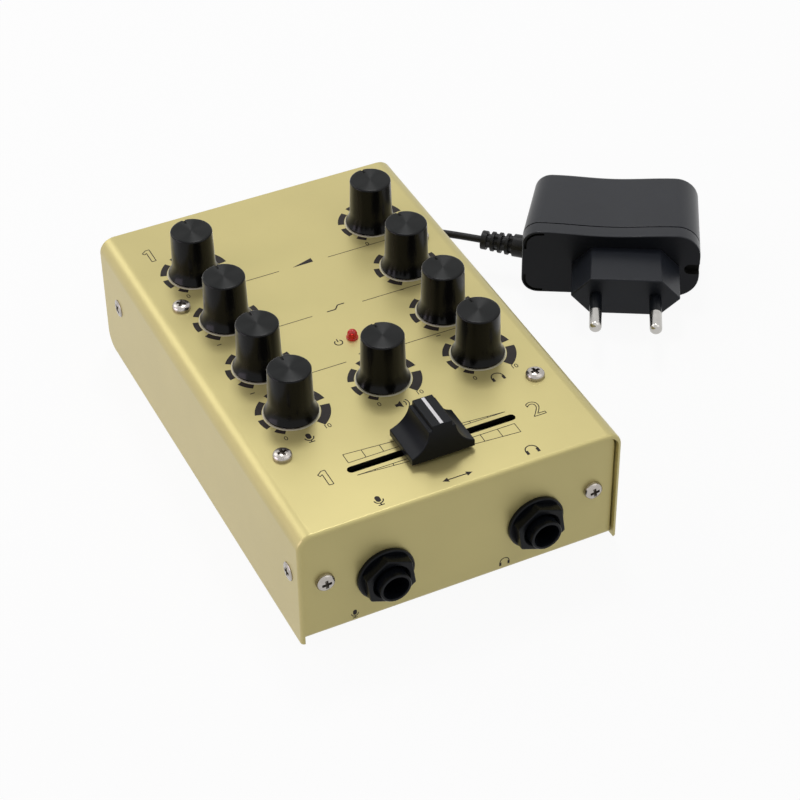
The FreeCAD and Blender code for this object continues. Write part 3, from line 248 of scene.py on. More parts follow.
@dataclass(frozen=True)
class SpunFinish(Finish):
    """A top turned on a lathe: fine rings about its middle, and a gloss drawn out across them.

    Attributes:
        pitch: The distance between rings, as a share of the knob's width.
        stretch: How far the gloss is drawn out.
        waver: How far the rings waver.
    """

    pitch: float = 0.02
    stretch: float = 0.9
    waver: float = 0.4

    def shader(self) -> Shader:
        """Makes the finish's shader with its drawn-out gloss."""
        shader = super().shader()
        outwards = shader.add("ShaderNodeTangent")
        outwards.direction_type = "UV_MAP"
        outwards.uv_map = SPUN_MAP
        shader.join(outwards.outputs["Tangent"], shader.surface.inputs["Tangent"])
        shader.set(Anisotropic=self.stretch)
        return shader

    def height(self, shader: Shader, grain: bpy.types.NodeSocket) -> bpy.types.NodeSocket:
        """Gives the rings, which run along the first axis of the knob's own map."""
        place = shader.add("ShaderNodeUVMap")
        place.uv_map = SPUN_MAP
        rings = shader.add("ShaderNodeTexWave", Scale=FULL_TURN / (20 * self.pitch), Distortion=self.waver)
        rings.wave_type = "BANDS"
        rings.bands_direction = "X"
        shader.join(place.outputs["UV"], rings.inputs["Vector"])
        return rings.outputs["Fac"]


@dataclass(frozen=True)
class LensFinish(Finish):
    """Clear coloured plastic.

    Attributes:
        clearness: The share of light that passes.
        bending: Its refractive index.
    """

    clearness: float = 0.35
    bending: float = 1.5

    def shader(self) -> Shader:
        """Makes the finish's shader with its clearness."""
        shader = super().shader()
        shader.set(Transmission_Weight=self.clearness, IOR=self.bending)
        return shader


GOLD = Finish("champagne_metal", (0.602, 0.522, 0.216), roughness=0.37, metallic=0.4, wander=0.025,
              patch=24.0, grain=0.22, depth=0.006)
KNOB_SIDE = Finish("knob_satin", (0.001, 0.001, 0.001), roughness=0.2, wander=0.1, patch=4.0, depth=0.003,
                   specular=0.15, sheen=1.0)
KNOB_TOP = SpunFinish("knob_spun_top", (0.003, 0.004, 0.004), roughness=0.32, specular=0.17)
SOCKET_BLACK = Finish("socket_black", (0.004, 0.005, 0.007), roughness=0.3, wander=0.1, grain=0.25,
                      specular=0.13)
CAP_BLACK = Finish("fader_black", (0.004, 0.005, 0.007), roughness=0.34, grain=0.25, depth=0.006,
                   specular=0.12)
ADAPTER_BLACK = Finish("adapter_black", (0.012, 0.014, 0.019), roughness=0.36, patch=7.0, grain=0.35,
                       depth=0.01, specular=0.3, sheen=0.35)
PLUG_BLACK = Finish("plug_black", (0.011, 0.013, 0.018), roughness=0.36, patch=7.0, grain=0.35, depth=0.008,
                    specular=0.22)
# Painted shade: a darker copy of the adapter's plastic for its front face, which faces away from the lights.
FACE_SHADE_BLACK = Finish("adapter_face_painted_shade", (0.007, 0.008, 0.011), roughness=0.4, patch=7.0, grain=0.35,
                    depth=0.008, specular=0.16)
CORD_BLACK = Finish("cord_skin", (0.015, 0.015, 0.016), roughness=0.42, wander=0.1, patch=5.0, depth=0.006,
                    specular=0.2)
RUBBER = Finish("foot_rubber", (0.03, 0.03, 0.03), roughness=0.75, wander=0.15, patch=2.0, depth=0.02)
NICKEL = Finish("bright_nickel", (0.5, 0.485, 0.46), roughness=0.2, metallic=1.0, wander=0.06, patch=1.6,
                grain=0.2)
# Painted shade: a darker copy of the nickel for the screws, standing in for the dark surroundings that they
# reflect.
SHADED_SCREW_NICKEL = Finish("shaded_screw_nickel", (0.42, 0.39, 0.36), roughness=0.26, metallic=1.0, wander=0.06,
                      patch=1.6, grain=0.2)
# Painted shade: a dark metal for the screws' cross recesses, standing in for the shade inside them.
SCREW_RECESS_SHADE = Finish("screw_recess_painted_shade", (0.16, 0.14, 0.12), roughness=0.4, metallic=0.8, wander=0.1, patch=1.6,
                     grain=0.2)
# Painted shade: a near-black finish on the walls of the fader slot and of the adapter's screw recess and
# corner grooves, standing in for the shade inside them.
HOLLOW_SHADE_BLACK = Finish("painted_hollow_shade", (0.006, 0.006, 0.005), roughness=0.6, wander=0.1, grain=0.25,
                    specular=0.1)
STEEL = Finish("plain_steel", (0.55, 0.55, 0.54), roughness=0.38, metallic=1.0, patch=5.0, depth=0.006)
INK = Finish("black_ink", (0.016, 0.011, 0.009), roughness=0.5, wander=0.2, patch=1.2, grain=0.2,
             specular=0.2)
PALE_INK = Finish("pale_ink", (0.82, 0.77, 0.56), roughness=0.45, wander=0.04, patch=1.2, grain=0.2)
WHITE_INK = Finish("white_ink", (0.86, 0.86, 0.86), roughness=0.45, wander=0.03, patch=1.2, grain=0.2)
RED_LENS = LensFinish("led_red", (0.9, 0.03, 0.02), roughness=0.1, patch=1.0, grain=0.4, depth=0.002,
                      coat=0.2, specular=0.2)
WHITE_PLASTIC = Finish("insert_white", (0.8, 0.8, 0.78), roughness=0.3, wander=0.03, depth=0.006)
RED_PLASTIC = Finish("insert_red", (0.55, 0.025, 0.02), roughness=0.3, wander=0.06, depth=0.006)
BOARD_GREEN = Finish("board_mask", (0.03, 0.17, 0.06), roughness=0.4, wander=0.15, patch=6.0, depth=0.006)


# Shapes
def clock(centre: Point, radius: float, degrees: float) -> Vector:
    """A point on a dial: 0 is towards the rear, and degrees run clockwise from above.

    Args:
        centre: The dial's middle.
        radius: The point's distance from it.
        degrees: The point's direction.

    Returns:
        The point at height 0.
    """
    angle = math.radians(degrees)
    return Vector((centre[0] + radius * math.sin(angle), centre[1] + radius * math.cos(angle), 0.0))


def arc(centre: Point, radius: float, start: float, end: float, steps: int) -> list[Point]:
    """Points of an arc, from a start angle to an end angle in degrees, counted from the X axis.

    Args:
        centre: The arc's middle.
        radius: Its radius.
        start: Its first angle.
        end: Its last angle.
        steps: How many pieces it has.

    Returns:
        The points, both ends included.
    """
    angles = [math.radians(start + (end - start) * step / steps) for step in range(steps + 1)]
    return [(centre[0] + radius * math.cos(a), centre[1] + radius * math.sin(a)) for a in angles]


def middle(node: str) -> Vector:
    """The middle of a solid's box, in millimetres."""
    low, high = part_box(node)
    return (low + high) / (2 * MM)


def extent(node: str) -> Vector:
    """The three lengths of a solid's box, in millimetres."""
    low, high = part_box(node)
    return (high - low) / MM


class Shape:
    """A mesh in the making, in millimetres, with the few moves that the pieces here need."""

    def __init__(self) -> None:
        """Starts an empty mesh."""
        self.bm = bmesh.new()

    def loop(self, outline: Sequence[Point], height: float = 0.0) -> bmesh.types.BMFace:
        """Adds one flat face.

        Args:
            outline: Its corners in order.
            height: Its height.

        Returns:
            The face.
        """
        return self.bm.faces.new([self.bm.verts.new((x, y, height)) for x, y in outline])

    def prism(self, outline: Sequence[Point], low: float, high: float) -> list[bmesh.types.BMVert]:
        """Adds a solid with the same outline all the way up.

        Args:
            outline: Its corners in order.
            low: The height of its lower face.
            high: The height of its upper face.

        Returns:
            Its corners.
        """
        face = self.loop(outline, low)
        base = list(face.verts)
        raised = bmesh.ops.extrude_face_region(self.bm, geom=[face], use_keep_orig=True)
        verts = [item for item in raised["geom"] if isinstance(item, bmesh.types.BMVert)]
        bmesh.ops.translate(self.bm, verts=verts, vec=(0, 0, high - low))
        return base + verts

    def lathe(self, profile: Sequence[Point], steps: int = 72) -> list[bmesh.types.BMVert]:
        """Adds a shape turned about the Z axis.

        Args:
            profile: Its half outline, as radius and height.
            steps: How many pieces a full turn has.

        Returns:
            Its corners.
        """
        before = set(self.bm.verts)
        chain = [self.bm.verts.new((radius, 0, height)) for radius, height in profile]
        edges = [self.bm.edges.new(pair) for pair in zip(chain, chain[1:])]
        bmesh.ops.spin(self.bm, geom=chain + edges, cent=(0, 0, 0), axis=(0, 0, 1), dvec=(0, 0, 0),
                       angle=FULL_TURN, steps=steps, use_merge=True)
        made = [vert for vert in self.bm.verts if vert not in before]
        bmesh.ops.remove_doubles(self.bm, verts=made, dist=JOIN_DISTANCE)
        return [vert for vert in self.bm.verts if vert not in before]

    def box(self, size: Sequence[float], at: Sequence[float]) -> list[bmesh.types.BMVert]:
        """Adds a box.

        Args:
            size: Its three lengths.
            at: Its middle.

        Returns:
            Its corners.
        """
        made = bmesh.ops.create_cube(self.bm, size=1.0)["verts"]
        bmesh.ops.scale(self.bm, verts=made, vec=size)
        bmesh.ops.translate(self.bm, verts=made, vec=at)
        return made

    def place(self, matrix: Matrix, verts: Iterable[bmesh.types.BMVert] | None = None) -> None:
        """Moves some or all corners by a matrix."""
        bmesh.ops.transform(self.bm, matrix=matrix, verts=list(verts or self.bm.verts))

    def soften(self, width: float, segments: int = 2, angle: float = 30.0,
               wanted: Callable[[bmesh.types.BMEdge], bool] | None = None) -> None:
        """Rounds sharp edges.

        Args:
            width: The width of the rounding.
            segments: How many faces it has.
            angle: The least angle of an edge that counts as sharp.
            wanted: A further test that an edge has to pass.
        """
        bmesh.ops.recalc_face_normals(self.bm, faces=self.bm.faces)
        limit = math.radians(angle)
        edges = [edge for edge in self.bm.edges if edge.is_manifold and edge.calc_face_angle() > limit]
        chosen = [edge for edge in edges if wanted is None or wanted(edge)]
        bmesh.ops.bevel(self.bm, geom=chosen, offset=width, offset_type="OFFSET", segments=segments,
                        profile=0.5, affect="EDGES", clamp_overlap=True, material=-1)

    def add_copy(self, mesh: bpy.types.Mesh, matrix: Matrix) -> None:
        """Adds a placed copy of a mesh.

        Args:
            mesh: The mesh.
            matrix: Where the copy goes.
        """
        before = set(self.bm.verts)
        self.bm.from_mesh(mesh)
        self.place(matrix, [vert for vert in self.bm.verts if vert not in before])

    def mesh(self, name: str) -> bpy.types.Mesh:
        """Ends the making and gives the mesh, still in millimetres.

        Args:
            name: The mesh's name.

        Returns:
            The mesh, with its normals outwards.
        """
        bmesh.ops.remove_doubles(self.bm, verts=self.bm.verts, dist=JOIN_DISTANCE)
        bmesh.ops.recalc_face_normals(self.bm, faces=self.bm.faces)
        made = bpy.data.meshes.new(name)
        self.bm.to_mesh(made)
        self.bm.free()
        return made


def carve(mesh: bpy.types.Mesh, cutter: bpy.types.Mesh) -> bpy.types.Mesh:
    """Cuts one mesh out of another.

    Args:
        mesh: The mesh that is cut.
        cutter: The mesh that is taken away.

    Returns:
        What is left.
    """
    scene = bpy.context.scene.collection.objects
    base = bpy.data.objects.new("carved", mesh)
    tool = bpy.data.objects.new("carver", cutter)
    scene.link(base)
    scene.link(tool)
    step = base.modifiers.new("carve", "BOOLEAN")
    step.operation = "DIFFERENCE"
    step.solver = "EXACT"
    step.object = tool
    bpy.context.view_layer.update()
    graph = bpy.context.evaluated_depsgraph_get()
    left = bpy.data.meshes.new_from_object(base.evaluated_get(graph))
    bpy.data.objects.remove(base)
    bpy.data.objects.remove(tool)
    return left


def show(name: str, mesh: bpy.types.Mesh, finishes: Sequence[Finish], body: str,
         nodes: Sequence[str] = (), smooth: float = 32.0) -> bpy.types.Object:
    """Makes a finished piece of a mesh in millimetres and lets it ride on a body.

    Args:
        name: The piece's name.
        mesh: Its mesh.
        finishes: Its finishes, in the order of the mesh's material numbers.
        body: The body that it rides on.
        nodes: The solids that it stands for.
        smooth: Edges that turn by less than this many degrees look smooth.

    Returns:
        The piece.
    """
    mesh.transform(Matrix.Scale(MM, 4))
    numbers = [face.material_index for face in mesh.polygons]
    mesh.materials.clear()
    for finish in finishes:
        mesh.materials.append(finish.material())
    mesh.polygons.foreach_set("material_index", numbers)
    mesh.shade_smooth()
    mesh.set_sharp_from_angle(angle=math.radians(smooth))
    piece = bpy.data.objects.new(name, mesh)
    bpy.context.scene.collection.objects.link(piece)
    shading = piece.modifiers.new("flat_faces_shade_flat", "WEIGHTED_NORMAL")
    shading.keep_sharp = True
    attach(piece, body)
    if nodes:
        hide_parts(*nodes)
    LOG.info("%s: %d faces on %s", name, len(mesh.polygons), body)
    return piece


def smooth_copy(node: str, finish: Finish, body: str = CASE, edge: float = 0.0) -> bpy.types.Object:
    """Stands a merged, smooth copy in for a solid.

    Args:
        node: The solid's name.
        finish: The copy's finish.
        body: The body that it rides on.
        edge: The width of its softened edges, or 0 for none.

    Returns:
        The piece.
    """
    shape = Shape()
    shape.bm.from_mesh(frame["nodes"][node].data)
    shape.place(Matrix.Scale(1 / MM, 4))
    bmesh.ops.remove_doubles(shape.bm, verts=shape.bm.verts, dist=TOUCH)
    flat = math.radians(0.5)
    bmesh.ops.dissolve_limit(shape.bm, angle_limit=flat, verts=shape.bm.verts, edges=shape.bm.edges)
    if edge:
        shape.soften(edge, 2, 40.0)
    for face in shape.bm.faces:
        face.material_index = 0
    return show(f"{node}_dressed", shape.mesh(f"{node}_dressed"), [finish], body, [node])


# Studio
@dataclass(frozen=True)
class SoftLight:
    """A soft flat light.

    Attributes:
        name: Its name.
        at: Where it hangs, in metres.
        size: Its width and height, in metres.
        power: Its power in watts.
        tint: Its colour.
    """

    name: str
    at: Triple
    size: Point
    power: float
    tint: Colour = (1.0, 1.0, 1.0)

    def hang(self, aim: Triple) -> None:
        """Hangs the light.

        Args:
            aim: What it points at, in metres.
        """
        data = bpy.data.lights.new(self.name, "AREA")
        data.color = self.tint
        data.shape = "RECTANGLE"
        data.size, data.size_y = self.size
        data.energy = self.power
        light = bpy.data.objects.new(self.name, data)
        bpy.context.scene.collection.objects.link(light)
        light.location = self.at
        light.rotation_mode = "QUATERNION"
        light.rotation_quaternion = (Vector(aim) - Vector(self.at)).to_track_quat("-Z", "Y")


LIGHTS = (
    SoftLight("top_light", at=(0.19, 0.40, 0.90), size=(0.22, 0.22), power=2.2),
    SoftLight("side_light", at=(-0.78, 0.10, 0.26), size=(0.5, 0.6), power=2.2, tint=(1.0, 0.86, 1.05)),
    SoftLight("rear_light", at=(-0.38, 0.66, 0.62), size=(0.5, 0.5), power=1.5),
    SoftLight("front_light", at=(0.30, -0.25, 0.55), size=(0.5, 0.5), power=0.6),
)


@dataclass
class Studio:
    """Camera, floor, lights and world.

    Attributes:
        camera_at: Where the camera stands, in millimetres.
        camera_aim: What it looks at, in millimetres.
        camera_roll: Its roll in degrees.
        sensor: The width of its sensor, in millimetres.
        focal_pixels: Its focal length, in pixels of the picture.
        picture: The picture's width in pixels.
        light_aim: What the lights point at, in metres.
        floor_half: Half the floor's width, in metres.
        floor_grey: The floor's tone under the lights.
        floor_roughness: Its roughness.
        floor_glow: The strength of the white that the camera and a gloss see in it.
        floor_share: The share of that white in what they see. The rest keeps the shadow.
        fill: The strength of the world's light on the object.
    """

    camera_at: Triple = (-222.46, -505.01, 478.36)
    camera_aim: Triple = (10.9, -12.4, 20.0)
    camera_roll: float = -0.75
    sensor: float = 36.0
    focal_pixels: float = 2386.0
    picture: float = 800.0
    light_aim: Triple = (0.0, 0.0, 0.03)
    floor_half: float = 4.0
    floor_grey: float = 0.5
    floor_roughness: float = 0.9
    floor_glow: float = 1.06
    floor_share: float = 0.88
    fill: float = 0.22

    def build(self) -> None:
        """Makes the camera, the floor, the lights and the world."""
        self.set_camera()
        self.lay_floor()
        for light in LIGHTS:
            light.hang(self.light_aim)
        self.set_world()
        bpy.context.scene.view_settings.view_transform = "Standard"

    def set_camera(self) -> None:
        """Stands the camera where the picture was taken."""
        data = bpy.data.cameras.new("camera")
        data.sensor_width = self.sensor
        data.lens = self.sensor * self.focal_pixels / self.picture
        data.clip_start = 0.01
        camera = bpy.data.objects.new("camera", data)
        bpy.context.scene.collection.objects.link(camera)
        camera.location = Vector(self.camera_at) * MM
        way = Vector(self.camera_aim) - Vector(self.camera_at)
        roll = Quaternion((0, 0, 1), math.radians(self.camera_roll))
        camera.rotation_mode = "QUATERNION"
        camera.rotation_quaternion = way.to_track_quat("-Z", "Y") @ roll
        bpy.context.scene.camera = camera

    def lay_floor(self) -> None:
        """Lays a pale floor that looks white where the camera or a gloss sees it."""
        mesh = bpy.data.meshes.new("floor")
        shape = bmesh.new()
        bmesh.ops.create_grid(shape, x_segments=1, y_segments=1, size=self.floor_half)
        shape.to_mesh(mesh)
        shape.free()
        floor = bpy.data.objects.new("floor", mesh)
        bpy.context.scene.collection.objects.link(floor)
        paper = Shader("floor_paper")
        grey = self.floor_grey
        paper.set(Base_Color=(grey, grey, grey, 1.0), Roughness=self.floor_roughness)
        glow = paper.add("ShaderNodeEmission", Strength=self.floor_glow)
        share = paper.add("ShaderNodeMapRange", To_Max=self.floor_share)
        blend = paper.add("ShaderNodeMixShader")
        paper.join(self.seen_by_gloss(paper.tree), share.inputs["Value"])
        paper.join(share.outputs["Result"], blend.inputs["Fac"])
        paper.join(paper.surface.outputs["BSDF"], blend.inputs[1])
        paper.join(glow.outputs["Emission"], blend.inputs[2])
        paper.join(blend.outputs["Shader"], paper.tree.nodes["Material Output"].inputs["Surface"])
        mesh.materials.append(paper.material)

    def seen_by_gloss(self, tree: bpy.types.NodeTree) -> bpy.types.NodeSocket:
        """Tells camera, glossy and clear rays from the rest.

        Args:
            tree: The node tree.

        Returns:
            1 for those rays and 0 for others.
        """
        path = tree.nodes.new("ShaderNodeLightPath")
        seen = path.outputs["Is Camera Ray"]
        for ray in ("Is Glossy Ray", "Is Transmission Ray"):
            either = tree.nodes.new("ShaderNodeMath")
            either.operation = "MAXIMUM"
            tree.links.new(seen, either.inputs[0])
            tree.links.new(path.outputs[ray], either.inputs[1])
            seen = either.outputs[0]
        return seen

    def set_world(self) -> None:
        """Makes a world that is white where it is seen and soft where it lights."""
        world = bpy.data.worlds.new("studio")
        bpy.context.scene.world = world
        world.use_nodes = True
        tree = world.node_tree
        back = tree.nodes["Background"]
        back.inputs["Color"].default_value = (1.0, 1.0, 1.0, 1.0)
        level = tree.nodes.new("ShaderNodeMapRange")
        level.inputs["To Min"].default_value = self.fill
        level.inputs["To Max"].default_value = 1.0
        tree.links.new(self.seen_by_gloss(tree), level.inputs["Value"])
        tree.links.new(level.outputs["Result"], back.inputs["Strength"])


# Cord
@dataclass
class Cord:
    """The adapter's cord: a tail from its plug, a tied put-away coil, and the lead to the boot.

    Attributes:
        diameter: The cord's thickness.
        turns: How many turns the coil has.
        layers: How many layers it lies in.
        centre: The coil's middle.
        low: The height of its lowest layer.
        outer: The radius of its outermost turn.
        pitch: How far the spiral moves in or out in a turn.
        points_per_turn: How many points a turn has.
        climb: The share of a turn in which it climbs to the next layer.
        tail: How far the tail's two points lie from the plug.
        lead: The lead's way from the coil to the adapter's boot.
        length: The cord's real length, in metres. Not used.
        plug_edge: The rounding of the plug's edges.
        tie_edge: The rounding of the tie's edges.
    """

    diameter: float = 2.4
    turns: float = 13.5
    layers: int = 4
    centre: Point = (2.0, 96.1)
    low: float = 2.1
    outer: float = 17.1
    pitch: float = 2.9
    points_per_turn: int = 16
    climb: float = 0.5
    tail: Point = (7.0, 15.0)
    lead: tuple[Triple, ...] = (
        (12.0, 113.2, 2.1),
        (24.0, 112.0, 1.7),
        (38.0, 106.8, 1.9),
        (50.0, 98.6, 3.2),
        (57.0, 88.0, 5.8),
        (60.3, 78.0, 9.0),
        (63.5, 69.6, 11.3),
        (68.9, 63.9, 12.0),
    )
    length: float = 1.165
    plug_edge: float = 0.6
    tie_edge: float = 0.25

    def coil_point(self, turns: float, plug_z: float) -> Vector:
        """A control point of the coil.

        Args:
            turns: How many turns lie before it, from the coil's lowest end.
            plug_z: The height of the coil's top layer.

        Returns:
            The point.
        """
        stretch = self.turns / self.layers
        layer = min(int(turns / stretch), self.layers - 1)
        along = turns - layer * stretch
        inward = along if layer % 2 == 0 else stretch - along
        step = FULL_TURN / self.points_per_turn
        radius = (self.outer - self.pitch * inward) / math.cos(step / 2)
        climbed = 0.0
        for reversal in range(1, self.layers):
            part = min(max((turns - reversal * stretch) / self.climb + 0.5, 0.0), 1.0)
            climbed += part * part * (3 - 2 * part)
        angle = math.pi / 2 + FULL_TURN * turns
        height = self.low + climbed * (plug_z - self.low) / (self.layers - 1)
        x, y = self.centre
        return Vector((x + radius * math.cos(angle), y + radius * math.sin(angle), height))

    def build(self, boot: bpy.types.Object, boot_tip: Vector) -> None:
        """Args:
            boot: The boot on the adapter. Not used.
            boot_tip: Where the lead meets it.
        """
        plug = smooth_copy("dc_plug", CORD_BLACK, edge=self.plug_edge)
        tie = smooth_copy("cord_tie", CORD_BLACK, edge=self.tie_edge)
        start = middle("cord_tail")
        start.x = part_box("cord_tail")[1].x / MM
        count = int(self.turns * self.points_per_turn)
        route = [start] + [start - Vector((back, 0, 0)) for back in self.tail]
        route += [self.coil_point(self.turns * step / count, start.z) for step in range(count - 1, 0, -1)]
        route += [Vector(point) for point in self.lead]
        route.append(boot_tip)
        data = bpy.data.curves.new("power_cord", "CURVE")
        data.dimensions = "3D"
        data.bevel_depth = self.diameter / 2 * MM
        data.bevel_resolution = 5
        data.resolution_u = 6
        data.use_fill_caps = True
        spline = data.splines.new("NURBS")
        spline.points.add(len(route) - 1)
        for place, point in zip(spline.points, route):
            place.co = (*(point * MM), 1.0)
        spline.order_u = 3
        spline.use_endpoint_u = True
        data.materials.append(CORD_BLACK.material())
        cord = bpy.data.objects.new("power_cord", data)
        bpy.context.scene.collection.objects.link(cord)
        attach(cord, CASE)
        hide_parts("cord_tail", "cord_coil", "cord_lead")
        LOG.info("power_cord: %d points", len(route))


# Case
@dataclass
class Case:
    """The sheet-metal case.

    Attributes:
        wall: The sheet's thickness.
        bend: The outer radius of the cover's bends.
        corner: The radius of the sides' lower rear corners.
        edge: The rounding of cut edges.
        front: The rounding of the cover's front edge.
        slot: The fader slot's length and width.
        chassis_edge: The rounding of the chassis's edges.
        foot: The feet's radius.
        foot_edge: The rounding of their lower edge.
    """

    wall: float = 1.2
    bend: float = 4.8
    corner: float = 5.0
    edge: float = 0.3
    front: float = 1.1
    slot: Point = (52.2, 2.6)
    chassis_edge: float = 0.15
    foot: float = 5.0
    foot_edge: float = 0.8

    def build(self) -> None:
        """Makes the cover, and dresses the chassis and the feet."""
        self.build_cover()
        smooth_copy("base_chassis", GOLD, edge=self.chassis_edge)
        self.build_feet()

    def build_cover(self) -> None:
        """Makes the bent cover with its fader slot, whose walls carry painted shade."""
        size = extent("top_cover")
        at = middle("top_cover")
        half = size.x / 2
        low = -size.z / 2
        high = size.z / 2
        turn_x = half - self.bend
        turn_z = high - self.bend
        inner = self.bend - self.wall
        outer_skin = [(half, low)] + arc((turn_x, turn_z), self.bend, 0, 90, 12)
        outer_skin += arc((-turn_x, turn_z), self.bend, 90, 180, 12) + [(-half, low)]
        inner_skin = [(self.wall - half, low)] + arc((-turn_x, turn_z), inner, 180, 90, 12)
        inner_skin += arc((turn_x, turn_z), inner, 90, 0, 12) + [(half - self.wall, low)]
        shape = Shape()
        shape.prism(outer_skin + inner_skin, -size.y / 2, size.y / 2)
        shape.place(Matrix.Translation(at) @ Matrix.Rotation(math.pi / 2, 4, "X"))
        rear = at.y + size.y / 2
        floor = at.z + low

        def lower_rear(edge: bmesh.types.BMEdge) -> bool:
            """Whether an edge is a lower rear corner of a side."""
            return all(abs(v.co.y - rear) < TOUCH and abs(v.co.z - floor) < TOUCH for v in edge.verts)

        def outer_front(edge: bmesh.types.BMEdge) -> bool:
            """Whether an edge lies between the outer skin and the front cut."""
            if any(abs(v.co.y - rear + size.y) > TOUCH for v in edge.verts):
                return False
            skins = [face for face in edge.link_faces if abs(face.normal.y) < 0.5 and face.normal.z > -0.5]
            return any(face.normal.dot(face.calc_center_median() - at) > 0 for face in skins)

        shape.soften(self.corner, 8, 60.0, lower_rear)
        shape.soften(self.front, 6, 60.0, outer_front)
        shape.soften(self.edge, 2, 60.0)
        cutter = Shape()
        row = middle("fader_frame").y
        length, width = self.slot
        reach = (length - width) / 2
        ends = arc((reach, row), width / 2, -90, 90, 10) + arc((-reach, row), width / 2, 90, 270, 10)
        cutter.prism(ends, at.z, at.z + size.z)
        # The slot's walls get the second finish: painted shade, as dark as the shade inside the slot.
        for wall in cutter.bm.faces:
            wall.material_index = 1
        cover = carve(shape.mesh("cover"), cutter.mesh("slot"))
        show("cover", cover, [GOLD, HOLLOW_SHADE_BLACK], CASE, ["top_cover"], smooth=25.0)

    def build_feet(self) -> None:
        """Makes the rubber feet."""
        size = extent("rubber_feet")
        at = middle("rubber_feet")
        radius = self.foot
        edge = self.foot_edge
        profile = [(0, 0), (radius - edge, 0), (radius - edge * 0.25, edge * 0.3125), (radius, edge)]
        profile += [(radius, size.z), (0, size.z)]
        shape = Shape()
        for side_x in (-1, 1):
            for side_y in (-1, 1):
                verts = shape.lathe(profile, 40)
                spot = (at.x + side_x * (size.x / 2 - radius), at.y + side_y * (size.y / 2 - radius), 0)
                bmesh.ops.translate(shape.bm, verts=verts, vec=spot)
        show("feet", shape.mesh("feet"), [RUBBER], CASE, ["rubber_feet"])


@dataclass
class Screws:
    """Pan-head screws with a cross recess, whose walls carry painted shade.

    Attributes:
        radius: The head's radius.
        height: The head's height.
        shank: The shank's radius.
        length: The shank's length.
        flat: The height of the side screws' flatter heads.
        arm: The cross recess's arm width.
        reach: The cross recess's length.
        depth: The cross recess's depth.
        narrowing: The share of its length that is left at its bottom.
        twist: The first screw's turn, and how much further each next one is turned, in degrees.
    """

    radius: float = 2.8
    height: float = 1.9
    shank: float = 1.5
    length: float = 6.0
    flat: float = 0.6
    arm: float = 0.95
    reach: float = 3.9
    depth: float = 1.0
    narrowing: float = 0.55
    twist: Point = (5.0, 47.0)

    def build(self) -> None:
        """Makes every screw that shows."""
        corners = [(side_x, side_y) for side_x in (-1, 1) for side_y in (-1, 1)]
        groups = {
            "panel_screws": [(0, side_y, 0) for side_x, side_y in corners],
            "side_screws": [(side_x, 0, 0) for side_x, side_y in corners],
            "top_screws": [(0, 0, 1) for corner in corners],
        }
        first, further = self.twist
        for node, ways in groups.items():
            one = self.make_one(self.flat if node == "side_screws" else self.height)
            shape = Shape()
            for number, (corner, way) in enumerate(zip(corners, ways)):
                spot = self.seat(node, *corner, way)
                turn = Vector((0, 0, 1)).rotation_difference(Vector(way)).to_matrix().to_4x4()
                twist = Matrix.Rotation(math.radians(first + further * number), 4, "Z")
                shape.add_copy(one, Matrix.Translation(spot) @ turn @ twist)
            # Both finishes carry painted shade: a darker nickel on the heads and a dark metal in the
            # recesses.
            show(f"{node}_dressed", shape.mesh(node), [SHADED_SCREW_NICKEL, SCREW_RECESS_SHADE], CASE, [node])

    def seat(self, node: str, side_x: int, side_y: int, way: Sequence[int]) -> Vector:
        """Where one screw's head meets the sheet.

        Args:
            node: The screws' solid.
            side_x: Which side it is on along X.
            side_y: Which side it is on along Y.
            way: The way that its head points.

        Returns:
            The point.
        """
        low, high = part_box(node)
        spot = Vector((high.x if side_x > 0 else low.x, high.y if side_y > 0 else low.y, high.z)) / MM
        for axis, side in ((0, side_x), (1, side_y)):
            spot[axis] -= side * (self.height if way[axis] else self.radius)
        spot.z -= self.height if way[2] else self.radius
        return spot

    def make_one(self, rise: float) -> bpy.types.Mesh:
        """Makes one screw, its head's seat at the origin and its head up.

        Args:
            rise: The height of its head.

        Returns:
            The screw's mesh.
        """
        radius = self.radius
        profile = [(0, -self.length), (self.shank, -self.length), (self.shank, 0), (radius - 0.1, 0)]
        profile += [(radius, 0.1), (radius, rise * 0.42), (radius * 0.93, rise * 0.68)]
        profile += [(radius * 0.78, rise * 0.86), (radius * 0.52, rise * 0.97), (0, rise)]
        shape = Shape()
        shape.lathe(profile, 48)
        made = shape.mesh("screw")
        for turn in (0, 1):
            cutter = Shape()
            for vert in cutter.box((self.reach, self.arm, self.depth * 2), (0, 0, rise)):
                if vert.co.z < rise:
                    vert.co.x *= self.narrowing
            # The recess walls get the second finish: painted shade.
            for side in cutter.bm.faces:
                side.material_index = 1
            cutter.place(Matrix.Rotation(math.pi / 2 * turn, 4, "Z"))
            made = carve(made, cutter.mesh("cross"))
        return made


# Controls
class Scale(Enum):
    """The two printed scales: one grows clockwise, the other is even."""

    GROWING = "growing"
    EVEN = "even"


KNOBS = {
    "gain_1": Scale.GROWING,
    "high_1": Scale.EVEN,
    "low_1": Scale.EVEN,
    "mic_level": Scale.GROWING,
    "gain_2": Scale.GROWING,
    "high_2": Scale.EVEN,
    "low_2": Scale.EVEN,
    "cue_level": Scale.GROWING,
    "master": Scale.GROWING,
}


